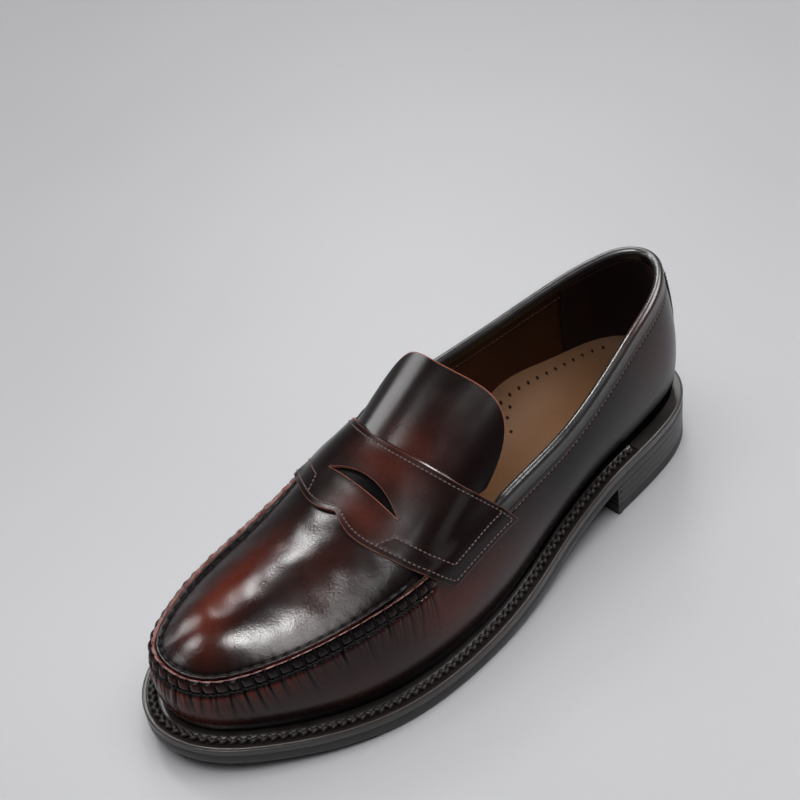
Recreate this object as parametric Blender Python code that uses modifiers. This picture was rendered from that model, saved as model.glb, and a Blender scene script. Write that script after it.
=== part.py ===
"""Left penny loafer, men's size 42: welted leather sole, stacked heel, moccasin plug, saddle strap, tongue.

The model stands on the ground plane z = 0.  The toe points to -Y, the heel to +Y, the outer (lateral)
side of the left foot to +X.  The origin is under the middle of the sole's outline.
Every dimension below is in millimetres; MM turns it into Blender's metres when a mesh is made.
"""
import math

import bmesh
import bpy
import numpy as np
from mathutils import Matrix, Vector
from mathutils.bvhtree import BVHTree

MM = 0.001
GAP = 0.3                 # clearance between touching pieces
COLLECTION = "penny_loafer"

# Sole, heights measured up from the underside of the outsole.
OUTSOLE = 5.2
WELT = 4.0
WELT_WIDTH = 16.0         # from the sole edge inwards, under the upper
EDGE = OUTSOLE + GAP + WELT
INSOLE = 2.2
SOCK = 1.0
PAD_BASE = EDGE + GAP + INSOLE + GAP

# Moulded footbed: a pad raises the sock lining at the heel, and its edges turn up the lining.
HEEL_PAD = 5.5
PAD_FRONT_Y = 34.0
PAD_WIDTH = 0.85          # share of the sock lining's width
HEEL_CUP = 6.0
ARCH_RISE = 9.0           # extra rise at the inner side
ARCH_Y = 62.0
ARCH_REACH = 38.0
FORE_CUP = 0.8
CUP_POWER = 2.6           # above 2 keeps the middle flat

# Underside of the outsole in side view.
BALL_Y = -38.0            # where the sole touches the ground
HEEL_HEIGHT = 17.0        # heel seat above the ground
SEAT_ROUNDING = 2.0       # how softly the shank runs into the heel seat
SHANK_LENGTH = 110.0      # from the ball to the heel seat
TOE_SPRING = 8.0
TOE_LENGTH = 112.0        # from the ball to the toe
BREAST_Y = 76.5           # front face of the heel
TOP_PIECE = 5.5           # rubber under the heel
LIFT = 3.5
LIFTS = 3

# Stations round the shoe, from the back of the heel by the lateral side, toe and medial side:
# sole edge x, y, then the rim of the upper x, y, z.  The rim is the collar's inner edge at the
# rear and the ridge of the moccasin seam at the front.
STATIONS = (
    (-2.0, 150.0, -1.5, 138.5, 96.0),
    (15.0, 143.5, 9.4, 131.5, 94.8),
    (31.5, 107.0, 21.5, 102.0, 88.0),
    (40.0, 44.0, 29.0, 48.0, 67.5),
    (48.8, 9.0, 33.0, 8.0, 62.5),
    (55.0, -47.0, 38.3, -41.0, 53.6),
    (52.4, -72.5, 34.8, -70.0, 51.0),
    (30.5, -121.5, 15.0, -119.0, 43.8),
    (12.3, -142.3, 2.5, -131.5, 42.2),
    (-9.0, -150.0, -12.0, -135.8, 42.8),
    (-26.2, -145.6, -24.0, -132.8, 42.6),
    (-41.7, -131.4, -33.0, -121.0, 43.5),
    (-51.4, -107.2, -39.0, -102.0, 46.0),
    (-52.3, -53.0, -40.3, -55.0, 56.0),
    (-43.5, -23.0, -41.0, -26.0, 64.0),
    (-33.5, 7.0, -39.0, 2.0, 72.0),
    (-29.5, 42.0, -37.5, 38.0, 75.0),
    (-31.5, 77.0, -31.5, 74.0, 81.0),
    (-29.5, 131.0, -17.0, 124.5, 94.0),
    (-18.5, 143.7, -11.0, 134.5, 95.8),
)

# Upper leather and what lines it.
LEATHER = 1.8
LINING = 1.0
PLUG_LEATHER = 1.6
COLLAR_RADIUS = 2.3
COLLAR_DROP = 5.2         # the quarters end this far below the collar's top
SEAM_LIP = 2.0            # outer face of the wall, outside the seam's ridge
COLLAR_LIP = 4.2          # outer face of the quarters, outside the collar's inner edge
PLUG_DROP = 2.0           # edge of the plug below the seam's ridge

# Crown of the plug and instep above the line between its two edges: y, height.
CROWN = ((-140, 8.5), (-112, 9), (-80, 10), (-49, 11.5), (-32, 14), (-14, 16.5), (10, 18))
TOE_DOME = 25.0           # length over which the plug rises behind the toe
PLUG_REAR_Y = -19.0       # hidden rear edge of the plug, under the saddle

# Saddle strap in the flat: distance across the instep from its middle, then y of the front and
# of the rear edge.  The front edge is two lobes that meet in a notch.
SADDLE = 1.6
SADDLE_SLACK = 0.8        # clearance under the strap
STITCH_INSET = 4.5        # outsole stitching, from the sole edge
STITCH_RADIUS = 0.5
THREAD_RADIUS = 0.7
CORK_REAR_Y = 12.0
SHANK_HALF = 7.0
SHANK_MIDDLE_X = -1.5
SHANK_Y = (14.5, 97.5)
SHANK_THICKNESS = 1.6
RAND_Y = 95.0             # the welt gives way to the plain rand here
BACKSTAY = 1.0
BACKSTAY_T = 0.0085       # half its width, as a share of the way round
BACKSTAY_V = (0.36, 0.96)
SADDLE_ENDS = (-58.0, 58.0)
SADDLE_REAR = ((-58, 4.0), (-42, -6.5), (-22, -13.5), (0, -13.5), (17, -10), (33, -4), (46, 4), (58, 11))
SADDLE_FRONT = (
    (-58, -33), (-44, -40), (-28, -47), (-12, -50.5), (-3, -48),
    (8, -51.5), (28, -47.5), (46, -38.5), (58, -29.5))
SLOT_HALF = 21.5
SLOT_MIDDLE_X = -3.0
SLOT_FRONT_Y = -34.0
SLOT_ARCH = 6.0

# Tongue: its hinge line lies under the rear edge of the saddle.
TONGUE = 2.0
TONGUE_HINGE = (-13.0, 77.0)
TONGUE_LENGTH = 40.0
TONGUE_EDGES = (-34.0, 36.0)   # from the middle, measured round the arch
TONGUE_HALF = 38.0             # where its rounded sides would meet the saddle
TONGUE_SLOPE = math.radians(37.0)

HEEL_NAILS = ((-17.0, 92.0), (17.0, 92.0), (-17.0, 121.0), (17.0, 121.0), (-1.0, 136.0))
NAIL_RADIUS = 1.1
NAIL_HEAD = 1.9
NAIL_FOOT = 0.4           # underside of the head above the ground
NAIL_NECK = 1.6           # where the head meets the shank
NAIL_TIP = 13.0
NAIL_SIDES = 8

OXBLOOD = (0.055, 0.012, 0.012)
EDGE_BLACK = (0.03, 0.028, 0.03)
THREAD = (0.015, 0.012, 0.012)
TAN = (0.36, 0.21, 0.12)
BROWN = (0.16, 0.06, 0.035)
SUEDE = (0.22, 0.07, 0.05)
CORK = (0.42, 0.27, 0.15)
BOARD = (0.45, 0.33, 0.22)
STEEL = (0.5, 0.5, 0.52)
FOAM = (0.75, 0.7, 0.55)


# ---------------------------------------------------------------- curves and surfaces

def closed_spline(points):
    """A smooth closed curve through the points, as a function of t from 0 to 1."""
    table = np.array(points, float)
    step = np.roll(table, -1, axis=0) - table
    chord = 0.5 * (np.linalg.norm(step[:, :2], axis=1) + np.linalg.norm(step[:, 2:4], axis=1))
    count = len(table)
    system = np.zeros((count, count))
    load = np.zeros_like(table)
    for i in range(count):
        system[i, i - 1] += chord[i - 1]
        system[i, i] += 2 * (chord[i - 1] + chord[i])
        system[i, (i + 1) % count] += chord[i]
        load[i] = 6 * (step[i] / chord[i] - step[i - 1] / chord[i - 1])
    bend = np.linalg.solve(system, load)
    knots = np.append(0, np.cumsum(chord))

    def value(t):
        s = np.mod(np.asarray(t, float), 1.0) * knots[-1]
        i = np.clip(np.searchsorted(knots, s, side="right") - 1, 0, count - 1)
        j = (i + 1) % count
        h = chord[i][..., None]
        b = (s - knots[i])[..., None] / h
        a = 1 - b
        return a * table[i] + b * table[j] + ((a ** 3 - a) * bend[i] + (b ** 3 - b) * bend[j]) * h * h / 6

    return value


RAW_STATION = closed_spline(STATIONS)
RAW_EDGE = RAW_STATION(np.linspace(0, 1, 2000))[:, :2]
CENTRE = 0.5 * (RAW_EDGE.min(axis=0) + RAW_EDGE.max(axis=0))


def sole_edge(t):
    return RAW_STATION(t)[..., :2] - CENTRE


def rim(t):
    return RAW_STATION(t)[..., 2:] - np.append(CENTRE, 0)


def outward(curve, t):
    """Horizontal direction that points out of the closed curve at t."""
    small = 1e-4
    along = curve(np.asarray(t) + small)[..., :2] - curve(np.asarray(t) - small)[..., :2]
    side = np.stack([-along[..., 1], along[..., 0]], -1)
    return side / np.linalg.norm(side, axis=-1, keepdims=True)


def smooth_step(x, low, high):
    k = np.clip((x - low) / (high - low), 0, 1)
    return k * k * (3 - 2 * k)


def sole_floor(y):
    """Height of the outsole's underside: flat heel seat, shank, ball on the ground, toe spring."""
    shank = HEEL_HEIGHT * np.clip((y - BALL_Y) / SHANK_LENGTH, 0, None) ** 2
    toe = TOE_SPRING * np.clip((BALL_Y - y) / TOE_LENGTH, 0, None) ** 2
    return toe - SEAT_ROUNDING * np.logaddexp(-shank / SEAT_ROUNDING, -HEEL_HEIGHT / SEAT_ROUNDING)


def feather_inset(y):
    """How far the upper meets the welt inside the sole edge."""
    return np.interp(y, (-60, 0, 60, 120, 146), (10, 8.5, 7.5, 7, 4.5))


def feather(t):
    edge = sole_edge(t)
    flat = edge - outward(sole_edge, t) * feather_inset(edge[..., 1])[..., None]
    return np.concatenate([flat, (sole_floor(flat[..., 1]) + EDGE + GAP)[..., None]], -1)


def level(direction):
    """A horizontal direction as a vector in space."""
    return np.concatenate([direction, np.zeros_like(direction[..., :1])], -1)


def is_collar(t):
    """1 along the collar, 0 along the plug's seam, with a short change under the saddle."""
    y = rim(t)[..., 1]
    return smooth_step(y, -30, 0)


def wall_top(t):
    lip = SEAM_LIP + (COLLAR_LIP - SEAM_LIP) * is_collar(t)
    top = rim(t) + level(outward(rim, t)) * lip[..., None]
    top[..., 2] -= COLLAR_DROP * is_collar(t)
    return top


def wall(t, v):
    """Outer face of the upper's wall: v runs from the feather line, 0, to the rim, 1."""
    low = feather(t)
    high = wall_top(t)
    out = outward(sole_edge, t)
    lean = np.sum((high - low)[..., :2] * out, axis=-1)
    height = high[..., 2] - low[..., 2]
    belly = low + level(out) * (4.5 + 0.45 * np.clip(lean, 0, None))[..., None]
    belly[..., 2] += 0.38 * height
    shoulder = high + level(out) * (1.0 + 0.75 * np.clip(2.0 - lean, 0, None) ** 0.9)[..., None]
    shoulder[..., 2] -= 0.3 * height
    v = np.asarray(v, float)[..., None]
    u = 1 - v
    return u ** 3 * low + 3 * u * u * v * belly + 3 * u * v * v * shoulder + v ** 3 * high


def chains(points):
    """The lateral and the medial side of a closed outline, each sorted by y."""
    back = int(np.argmax(points[:, 1]))
    points = np.roll(points, -back, axis=0)
    toe = int(np.argmin(points[:, 1]))
    return points[:toe + 1][::-1], np.vstack([points[toe:], points[:1]])


def across(points, y):
    """Left and right points of a closed outline at each y."""
    lateral, medial = chains(points)
    columns = range(points.shape[1])
    right = np.stack([np.interp(y, lateral[:, 1], lateral[:, k]) for k in columns], -1)
    left = np.stack([np.interp(y, medial[:, 1], medial[:, k]) for k in columns], -1)
    return left, right


DENSE = np.linspace(0, 1, 1200, endpoint=False)


def spread(start, stop, count):
    """Stations from start to stop, closer together where the sole's outline turns sharply."""
    fine = np.linspace(start, stop, 600)
    step = np.linalg.norm(np.diff(sole_edge(fine), axis=0), axis=1)
    heading = outward(sole_edge, fine)
    turn = np.degrees(np.linalg.norm(np.diff(heading, axis=0), axis=1))
    weight = np.append(0, np.cumsum(step / 12 + turn / 8))
    return np.interp(np.linspace(0, weight[-1], count), weight, fine)


PLUG_OUTLINE = rim(DENSE) - level(outward(rim, DENSE)) * 0.2


def instep(x, y):
    """Height of the plug's outer face, continued back under the saddle and the tongue."""
    left, right = across(PLUG_OUTLINE, y)
    toe_y = PLUG_OUTLINE[:, 1].min()
    middle = 0.5 * (left[..., 0] + right[..., 0])
    half = np.maximum(0.5 * (right[..., 0] - left[..., 0]), 1e-3)
    a = np.clip((x - middle) / half, -1, 1)
    base = 0.5 * (left[..., 2] + right[..., 2]) + 0.5 * (right[..., 2] - left[..., 2]) * a - PLUG_DROP
    rise = 1 - (1 - np.clip((y - toe_y) / TOE_DOME, 0, 1)) ** 2
    fullness = 1 + 0.9 * smooth_step(y, -80, -20)
    heights = np.array(CROWN, float)
    crown = np.interp(y, heights[:, 0], heights[:, 1]) + PLUG_DROP
    return base + crown * rise * (1 - a * a) ** (1 / fullness)


def plug_rows(ys, columns, widest=1.0):
    """Rows of points across the plug, from the medial to the lateral edge."""
    left, right = across(PLUG_OUTLINE, ys)
    a = np.sin(np.linspace(-1, 1, columns) * math.pi / 2) * widest
    x = 0.5 * (left[:, :1] + right[:, :1]) + 0.5 * (right[:, :1] - left[:, :1]) * a
    y = np.repeat(ys[:, None], columns, axis=1)
    return np.stack([x, y, instep(x, y)], -1)


def sheet_normals(points):
    """Unit normals of a grid of points."""
    normal = np.cross(np.gradient(points, axis=0), np.gradient(points, axis=1))
    return normal / np.linalg.norm(normal, axis=-1, keepdims=True)


# ---------------------------------------------------------------- the form that the strap lies on

class Form:
    """Sections of the upper's outside at constant y, measured across from the instep's middle."""

    AXIS = np.array([-2.0, 38.0])
    ANGLES = np.radians(np.arange(-114, 115, 1.5))

    def __init__(self):
        t = np.linspace(0, 1, 240, endpoint=False)
        v = np.linspace(0, 1, 14)
        side = wall(t[:, None] + 0 * v, v + 0 * t[:, None])
        top = plug_rows(np.linspace(-130, 34, 60), 31)
        vertices = []
        faces = []
        add_grid(side, vertices, faces, closed=True)
        add_grid(top, vertices, faces, closed=False)
        self.tree = BVHTree.FromPolygons(vertices, faces)
        self.cache = {}

    def radius(self, y):
        reach = []
        for angle in self.ANGLES:
            start = Vector((self.AXIS[0], y, self.AXIS[1]))
            ray = Vector((math.sin(angle), 0, math.cos(angle)))
            hit = self.tree.ray_cast(start, ray)
            reach.append(hit[3] if hit[0] else np.nan)
        reach = np.array(reach)
        known = ~np.isnan(reach)
        return np.interp(self.ANGLES, self.ANGLES[known], reach[known])

    def section(self, y):
        """Distance across, and the x and z of the smoothed section at y."""
        key = round(float(y), 1)
        if key not in self.cache:
            reach = np.pad(self.radius(key), 1, mode="edge")
            raw = np.maximum(np.maximum(reach[:-2], reach[1:-1]), reach[2:])
            smooth = raw
            for _ in range(6):
                blurred = np.convolve(np.pad(smooth, 1, mode="edge"), (0.25, 0.5, 0.25), "valid")
                smooth = np.maximum(raw, blurred)
            x = self.AXIS[0] + smooth * np.sin(self.ANGLES)
            z = self.AXIS[1] + smooth * np.cos(self.ANGLES)
            length = np.append(0, np.cumsum(np.hypot(np.diff(x), np.diff(z))))
            length -= np.interp(0, self.ANGLES, length)
            self.cache[key] = (length, x, z)
        return self.cache[key]

    def point(self, u, y):
        length, x, z = self.section(y)
        return np.array([np.interp(u, length, x), y, np.interp(u, length, z)])


def add_grid(points, vertices, faces, closed):
    """Append a grid's points and quads to the lists."""
    rows, columns = points.shape[:2]
    first = len(vertices)
    vertices.extend(Vector(p) for p in points.reshape(-1, 3).tolist())
    for i in range(rows if closed else rows - 1):
        for j in range(columns - 1):
            a = first + i * columns + j
            b = first + (i + 1) % rows * columns + j
            faces.append((a, b, b + 1, a + 1))


# ---------------------------------------------------------------- objects

def clear_scene():
    for item in list(bpy.data.objects):
        bpy.data.objects.remove(item, do_unlink=True)


def new_collection(name):
    group = bpy.data.collections.new(name)
    bpy.context.scene.collection.children.link(group)
    return group


def finish(name, colour, roughness, metallic=0.0):
    """A plain material of its own for the named part."""
    surface = bpy.data.materials.new(name)
    surface.use_nodes = True
    shader = surface.node_tree.nodes["Principled BSDF"]
    shader.inputs["Base Color"].default_value = (*colour, 1)
    shader.inputs["Roughness"].default_value = roughness
    shader.inputs["Metallic"].default_value = metallic
    return surface


def new_object(name, data, look):
    item = bpy.data.objects.new(name, data)
    PARTS.objects.link(item)
    data.materials.append(finish(name, *look))
    return item


def mesh_object(name, vertices, faces, look):
    """A mesh from points in millimetres, with its faces turned outwards and shaded smooth."""
    mesh = bpy.data.meshes.new(name)
    mesh.from_pydata([tuple(MM * c for c in v) for v in vertices], [], faces)
    mesh.shade_smooth()
    mesh.set_sharp_from_angle(angle=math.radians(40))
    return new_object(name, mesh, look)


def solid(name, vertices, faces, look):
    """A closed mesh whose faces all point outwards."""
    item = mesh_object(name, vertices, faces, look)
    work = bmesh.new()
    work.from_mesh(item.data)
    bmesh.ops.recalc_face_normals(work, faces=work.faces)
    work.to_mesh(item.data)
    work.free()
    return item


def sheet(name, points, thickness, look, closed=False, side=-1):
    """A curved sheet: the grid is its outer face (side -1) or its underside (side 1)."""
    vertices = []
    faces = []
    add_grid(points, vertices, faces, closed)
    item = mesh_object(name, vertices, faces, look)
    modifier = item.modifiers.new("thickness", "SOLIDIFY")
    modifier.thickness = MM * thickness
    modifier.offset = side
    return item


def eased_rows(low, high, count):
    """Values from low to high that crowd together at both ends."""
    return low + (high - low) * (1 - np.cos(np.linspace(0, math.pi, count))) / 2


def plate(name, outline, low_y, high_y, bottom, top, look, count=30):
    """A solid sole layer: the outline between two y values, from bottom(y) up to top(y)."""
    ys = eased_rows(low_y, high_y, count)
    left, right = across(outline, ys)
    vertices = []
    for y, x0, x1 in zip(ys, left[:, 0], right[:, 0]):
        vertices += [(x0, y, bottom(y)), (x1, y, bottom(y)), (x1, y, top(y)), (x0, y, top(y))]
    faces = [(0, 1, 2, 3)]
    for i in range(count - 1):
        for j in range(4):
            a = 4 * i + j
            b = 4 * i + (j + 1) % 4
            faces.append((a, a + 4, b + 4, b))
    last = 4 * (count - 1)
    faces.append((last, last + 3, last + 2, last + 1))
    return solid(name, vertices, faces, look)


def band(name, ts, inner, outer, bottom, top, look, closed=False):
    """A strip of rectangular section that follows the sole edge at two insets."""
    edge = sole_edge(ts)
    out = outward(sole_edge, ts)
    near = edge - out * outer
    far = edge - out * inner
    vertices = []
    for p, q in zip(near, far):
        vertices += [(p[0], p[1], bottom(p[1])), (q[0], q[1], bottom(q[1])),
                     (q[0], q[1], top(q[1])), (p[0], p[1], top(p[1]))]
    count = len(ts)
    faces = []
    for i in range(count if closed else count - 1):
        for j in range(4):
            a = 4 * i
            b = 4 * ((i + 1) % count)
            k = (j + 1) % 4
            faces.append((a + j, a + k, b + k, b + j))
    if not closed:
        last = 4 * (count - 1)
        faces.append((3, 2, 1, 0))
        faces.append((last, last + 1, last + 2, last + 3))
    return solid(name, vertices, faces, look)


def cord(name, points, radius, look, closed=False, resolution=1):
    """A round cord along the points."""
    curve = bpy.data.curves.new(name, "CURVE")
    curve.dimensions = "3D"
    curve.bevel_depth = MM * radius
    curve.bevel_resolution = resolution
    curve.use_fill_caps = not closed
    spline = curve.splines.new("POLY")
    spline.points.add(len(points) - 1)
    for point, p in zip(spline.points, points):
        point.co = (MM * p[0], MM * p[1], MM * p[2], 1)
    spline.use_cyclic_u = closed
    return new_object(name, curve, look)


def cutter(name, vertices, faces):
    mesh = bpy.data.meshes.new(name)
    mesh.from_pydata([tuple(MM * c for c in v) for v in vertices], [], faces)
    item = bpy.data.objects.new(name, mesh)
    item.hide_render = True
    item.display_type = "WIRE"
    CUTTERS.objects.link(item)
    return item


def cut(item, tool):
    boolean = item.modifiers.new("cut", "BOOLEAN")
    boolean.operation = "DIFFERENCE"
    boolean.object = tool


# ---------------------------------------------------------------- sole

def inset_outline(inset):
    """Sole outline moved inwards by a width, or by a function of y."""
    edge = sole_edge(DENSE)
    width = inset(edge[:, 1]) if callable(inset) else np.full(len(edge), float(inset))
    return edge - outward(sole_edge, DENSE) * width[:, None]


def above_floor(height):
    return lambda y: float(sole_floor(y)) + height


def at_height(height):
    return lambda y: height


def ends(outline, margin=0.4):
    return outline[:, 1].min() + margin, outline[:, 1].max() - margin


def outsole():
    outline = inset_outline(0)
    low, high = ends(outline)
    look = (EDGE_BLACK, 0.4)
    plate("outsole", outline, low, high, above_floor(0), above_floor(OUTSOLE), look, count=40)


def welt_and_rand():
    """The stitched welt round the forepart and waist, and the plain rand round the heel."""
    turn = rand_limits(RAND_Y)
    bottom = above_floor(OUTSOLE + GAP)
    top = above_floor(EDGE)
    gap_t = 0.0006
    fore = spread(turn[0] + gap_t, turn[1] - gap_t, 54)
    rear = spread(turn[1] + gap_t, 1 + turn[0] - gap_t, 26)
    band("welt", fore, WELT_WIDTH, 0, bottom, top, (EDGE_BLACK, 0.45))
    band("heel_rand", rear, WELT_WIDTH, 0, bottom, top, (EDGE_BLACK, 0.4))


def rand_limits(y):
    """Where, on the lateral and on the medial side, the welt gives way to the rand."""
    ys = sole_edge(DENSE)[:, 1]
    inside = np.nonzero(ys < y)[0]
    return DENSE[inside[0]], DENSE[inside[-1]]


def welt_stitch():
    """The outsole's lockstitch, lying on top of the welt."""
    turn = rand_limits(RAND_Y - 1)
    margin_t = 0.002
    ts = spread(turn[0] + margin_t, turn[1] - margin_t, 70)
    flat = sole_edge(ts) - outward(sole_edge, ts) * STITCH_INSET
    height = sole_floor(flat[:, 1]) + EDGE + 2 * STITCH_RADIUS
    cord("welt_stitch", np.column_stack([flat, height]), STITCH_RADIUS, (THREAD, 0.7), resolution=0)


def sole_filling():
    """Cork under the forepart and a steel shank under the waist, inside the welt."""
    bottom = above_floor(OUTSOLE + GAP)
    outline = inset_outline(WELT_WIDTH + GAP)
    low = ends(outline)[0]
    plate("cork_filler", outline, low, CORK_REAR_Y, bottom, above_floor(EDGE), (CORK, 0.9), count=18)
    front, rear = SHANK_Y
    corners = np.array([(SHANK_HALF, rear), (SHANK_HALF, front), (-SHANK_HALF, front), (-SHANK_HALF, rear)])
    corners = corners + (SHANK_MIDDLE_X, 0)
    top = above_floor(OUTSOLE + GAP + SHANK_THICKNESS)
    plate("shank", corners, front, rear, bottom, top, (STEEL, 0.35, 1.0), count=10)


def insole_board():
    outline = inset_outline(lambda y: feather_inset(y) + LEATHER + LINING + 8 * GAP)
    low, high = ends(outline)
    plate("insole_board", outline, low, high, above_floor(EDGE + GAP), above_floor(EDGE + GAP + INSOLE),
          (BOARD, 0.8))
    return outline


def footbed_height(y):
    """Top of the sock lining along its middle."""
    return sole_floor(y) + PAD_BASE + SOCK + HEEL_PAD * smooth_step(y, 10, 75)


def cup_height(y, medial):
    """How far the footbed's edge stands above its middle."""
    heel = HEEL_CUP * smooth_step(y, 20, 95)
    arch = ARCH_RISE * np.exp(-((y - ARCH_Y) / ARCH_REACH) ** 2)
    return FORE_CUP + heel + np.where(medial, arch, 0)


def footbed_edge():
    """Where the sock lining meets the inside of the upper, all the way round."""
    vs = np.linspace(0, 0.7, 40)
    face = wall_grid(DENSE, vs, -(LEATHER + 2 * LINING + 8 * GAP))[::-1]
    medial = DENSE > DENSE[np.argmin(sole_edge(DENSE)[:, 1])]
    y = face[:, 8, 1]
    target = footbed_height(y) + cup_height(y, medial)
    return np.array([[np.interp(z, row[:, 2], row[:, k]) for k in range(3)] for z, row in zip(target, face)])


def footbed_rows(ys, columns, widest=1.0):
    """Rows of points over the cupped footbed, from the medial to the lateral side."""
    left, right = across(footbed_edge(), ys)
    a = np.sin(np.linspace(-1, 1, columns) * math.pi / 2) * widest
    points = 0.5 * (left + right)[:, None] + 0.5 * (right - left)[:, None] * a[:, None]
    middle = footbed_height(ys)[:, None]
    points[..., 2] = middle + (points[..., 2] - middle) * np.abs(a) ** CUP_POWER
    return points


def sock_lining():
    low, high = ends(footbed_edge())
    rows = footbed_rows(eased_rows(low, high, 36), 11)
    sheet("sock_lining", rows[::-1], SOCK, (TAN, 0.7))


def heel_pad(board):
    """Moulded foam between the insole board and the raised part of the sock lining."""
    high = ends(footbed_edge())[1] - 6
    top = footbed_rows(eased_rows(PAD_FRONT_Y, high, 20), 9, PAD_WIDTH)
    slope = np.gradient(top[..., 2], axis=1) / np.gradient(top[..., 0], axis=1)
    top[..., 2] -= (SOCK + 2 * GAP) * np.sqrt(1 + slope ** 2)
    left, right = across(board, top[:, 0, 1])
    vertices = []
    for row, x0, x1 in zip(top, left[:, 0] + 3, right[:, 0] - 3):
        y = row[0, 1]
        bottom = float(sole_floor(y)) + PAD_BASE
        vertices += [(x1, y, bottom), (x0, y, bottom)] + [tuple(p) for p in row]
    ring = top.shape[1] + 2
    faces = [tuple(range(ring))]
    for i in range(len(top) - 1):
        for j in range(ring):
            a = ring * i + j
            b = ring * i + (j + 1) % ring
            faces.append((a, a + ring, b + ring, b))
    last = ring * (len(top) - 1)
    faces.append(tuple(range(last + ring - 1, last - 1, -1)))
    solid("heel_pad", vertices, faces, (FOAM, 0.9))


def heel_block():
    """Rubber top piece and leather lifts, held by nails driven from below."""
    outline = inset_outline(0.3)
    high = ends(outline)[1]
    levels = [0.0, TOP_PIECE]
    names = ["heel_top_piece"] + [f"heel_lift_{k + 1}" for k in range(LIFTS)]
    for k in range(LIFTS):
        levels.append(levels[-1] + LIFT + GAP)
    tool = nail_holes()
    for k, name in enumerate(names):
        bottom = at_height(levels[k] + (GAP if k else 0))
        top = above_floor(-GAP) if k == LIFTS else at_height(levels[k + 1])
        look = (EDGE_BLACK, 0.6) if k == 0 else (EDGE_BLACK, 0.4)
        item = plate(name, outline, BREAST_Y + 0.3, high, bottom, top, look, count=18)
        cut(item, tool)
    heel_nails()


def nail_profile(place, grow):
    """A nail's head and shank, or the hole for it, as a turned shape."""
    foot = NAIL_FOOT if grow == 0 else -1.0
    neck = NAIL_NECK + grow
    stops = ((foot, NAIL_HEAD), (neck, NAIL_HEAD), (neck, NAIL_RADIUS), (NAIL_TIP + grow, NAIL_RADIUS))
    vertices = []
    for z, r in stops:
        for k in range(NAIL_SIDES):
            angle = 2 * math.pi * k / NAIL_SIDES
            reach = r + grow
            vertices.append((place[0] + reach * math.cos(angle), place[1] + reach * math.sin(angle), z))
    last = NAIL_SIDES * (len(stops) - 1)
    faces = [tuple(range(NAIL_SIDES - 1, -1, -1)), tuple(range(last, last + NAIL_SIDES))]
    for ring in range(len(stops) - 1):
        for k in range(NAIL_SIDES):
            a = NAIL_SIDES * ring + k
            b = NAIL_SIDES * ring + (k + 1) % NAIL_SIDES
            faces.append((a, b, b + NAIL_SIDES, a + NAIL_SIDES))
    return vertices, faces


def nail_holes():
    vertices = []
    faces = []
    for place in HEEL_NAILS:
        more, shape = nail_profile(place, GAP)
        first = len(vertices)
        vertices += more
        faces += [tuple(first + k for k in face) for face in shape]
    return cutter("nail_holes", vertices, faces)


def heel_nails():
    for number, place in enumerate(HEEL_NAILS, 1):
        vertices, faces = nail_profile(place, 0)
        solid(f"heel_nail_{number}", vertices, faces, (STEEL, 0.35, 1.0))


# ---------------------------------------------------------------- upper

def wall_grid(ts, vs, distance=0.0):
    """Points on the wall, or on a layer at a distance outside (above 0) or inside it."""
    points = wall(ts[:, None] + 0 * vs, vs + 0 * ts[:, None])
    small = 1e-3
    along = wall(ts[:, None] + small + 0 * vs, vs + 0 * ts[:, None]) - points
    up = wall(ts[:, None] + 0 * vs, vs + small + 0 * ts[:, None]) - points
    normal = np.cross(up, along)
    normal /= np.linalg.norm(normal, axis=-1, keepdims=True)
    return (points + normal * distance)[::-1]


def rim_t(y, lateral):
    """Station t of the rim at a given y on one side."""
    points = rim(DENSE)
    toe = DENSE[np.argmin(points[:, 1])]
    chosen = DENSE < toe if lateral else DENSE > toe
    ts = DENSE[chosen]
    return float(ts[np.argmin(np.abs(points[chosen, 1] - y))])


def upper_wall():
    ts = spread(0, 1, 91)[:-1]
    sheet("vamp_wall", wall_grid(ts, np.linspace(0, 1, 8)), LEATHER, (OXBLOOD, 0.25), closed=True)


def plug():
    toe_y = PLUG_OUTLINE[:, 1].min()
    span = PLUG_REAR_Y - toe_y - 0.5
    ys = toe_y + 0.5 + span * (1 - np.cos(np.linspace(0.12, math.pi / 2, 18)))
    rows = plug_rows(ys, 15)
    sheet("plug", rows[::-1], PLUG_LEATHER, (OXBLOOD, 0.25))


def seam_thread():
    """Waxed thread that draws the wall to the plug, lying outside the seam's ridge."""
    ts = spread(rim_t(-50, True), rim_t(-50, False), 60)
    points = wall_grid(ts, np.array([0.9, 1.0]), THREAD_RADIUS + 2 * GAP)[:, 0]
    cord("seam_thread", points, THREAD_RADIUS, (THREAD, 0.6), resolution=0)


def collar():
    """Rolled piping along the top of the quarters."""
    ts = spread(rim_t(1.0, False), 1 + rim_t(8.0, True), 56)
    points = rim(ts) + level(outward(rim, ts)) * (COLLAR_RADIUS - 0.1)
    points[:, 2] -= COLLAR_RADIUS + 0.1
    cord("collar_piping", points, COLLAR_RADIUS, (OXBLOOD, 0.2))


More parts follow.
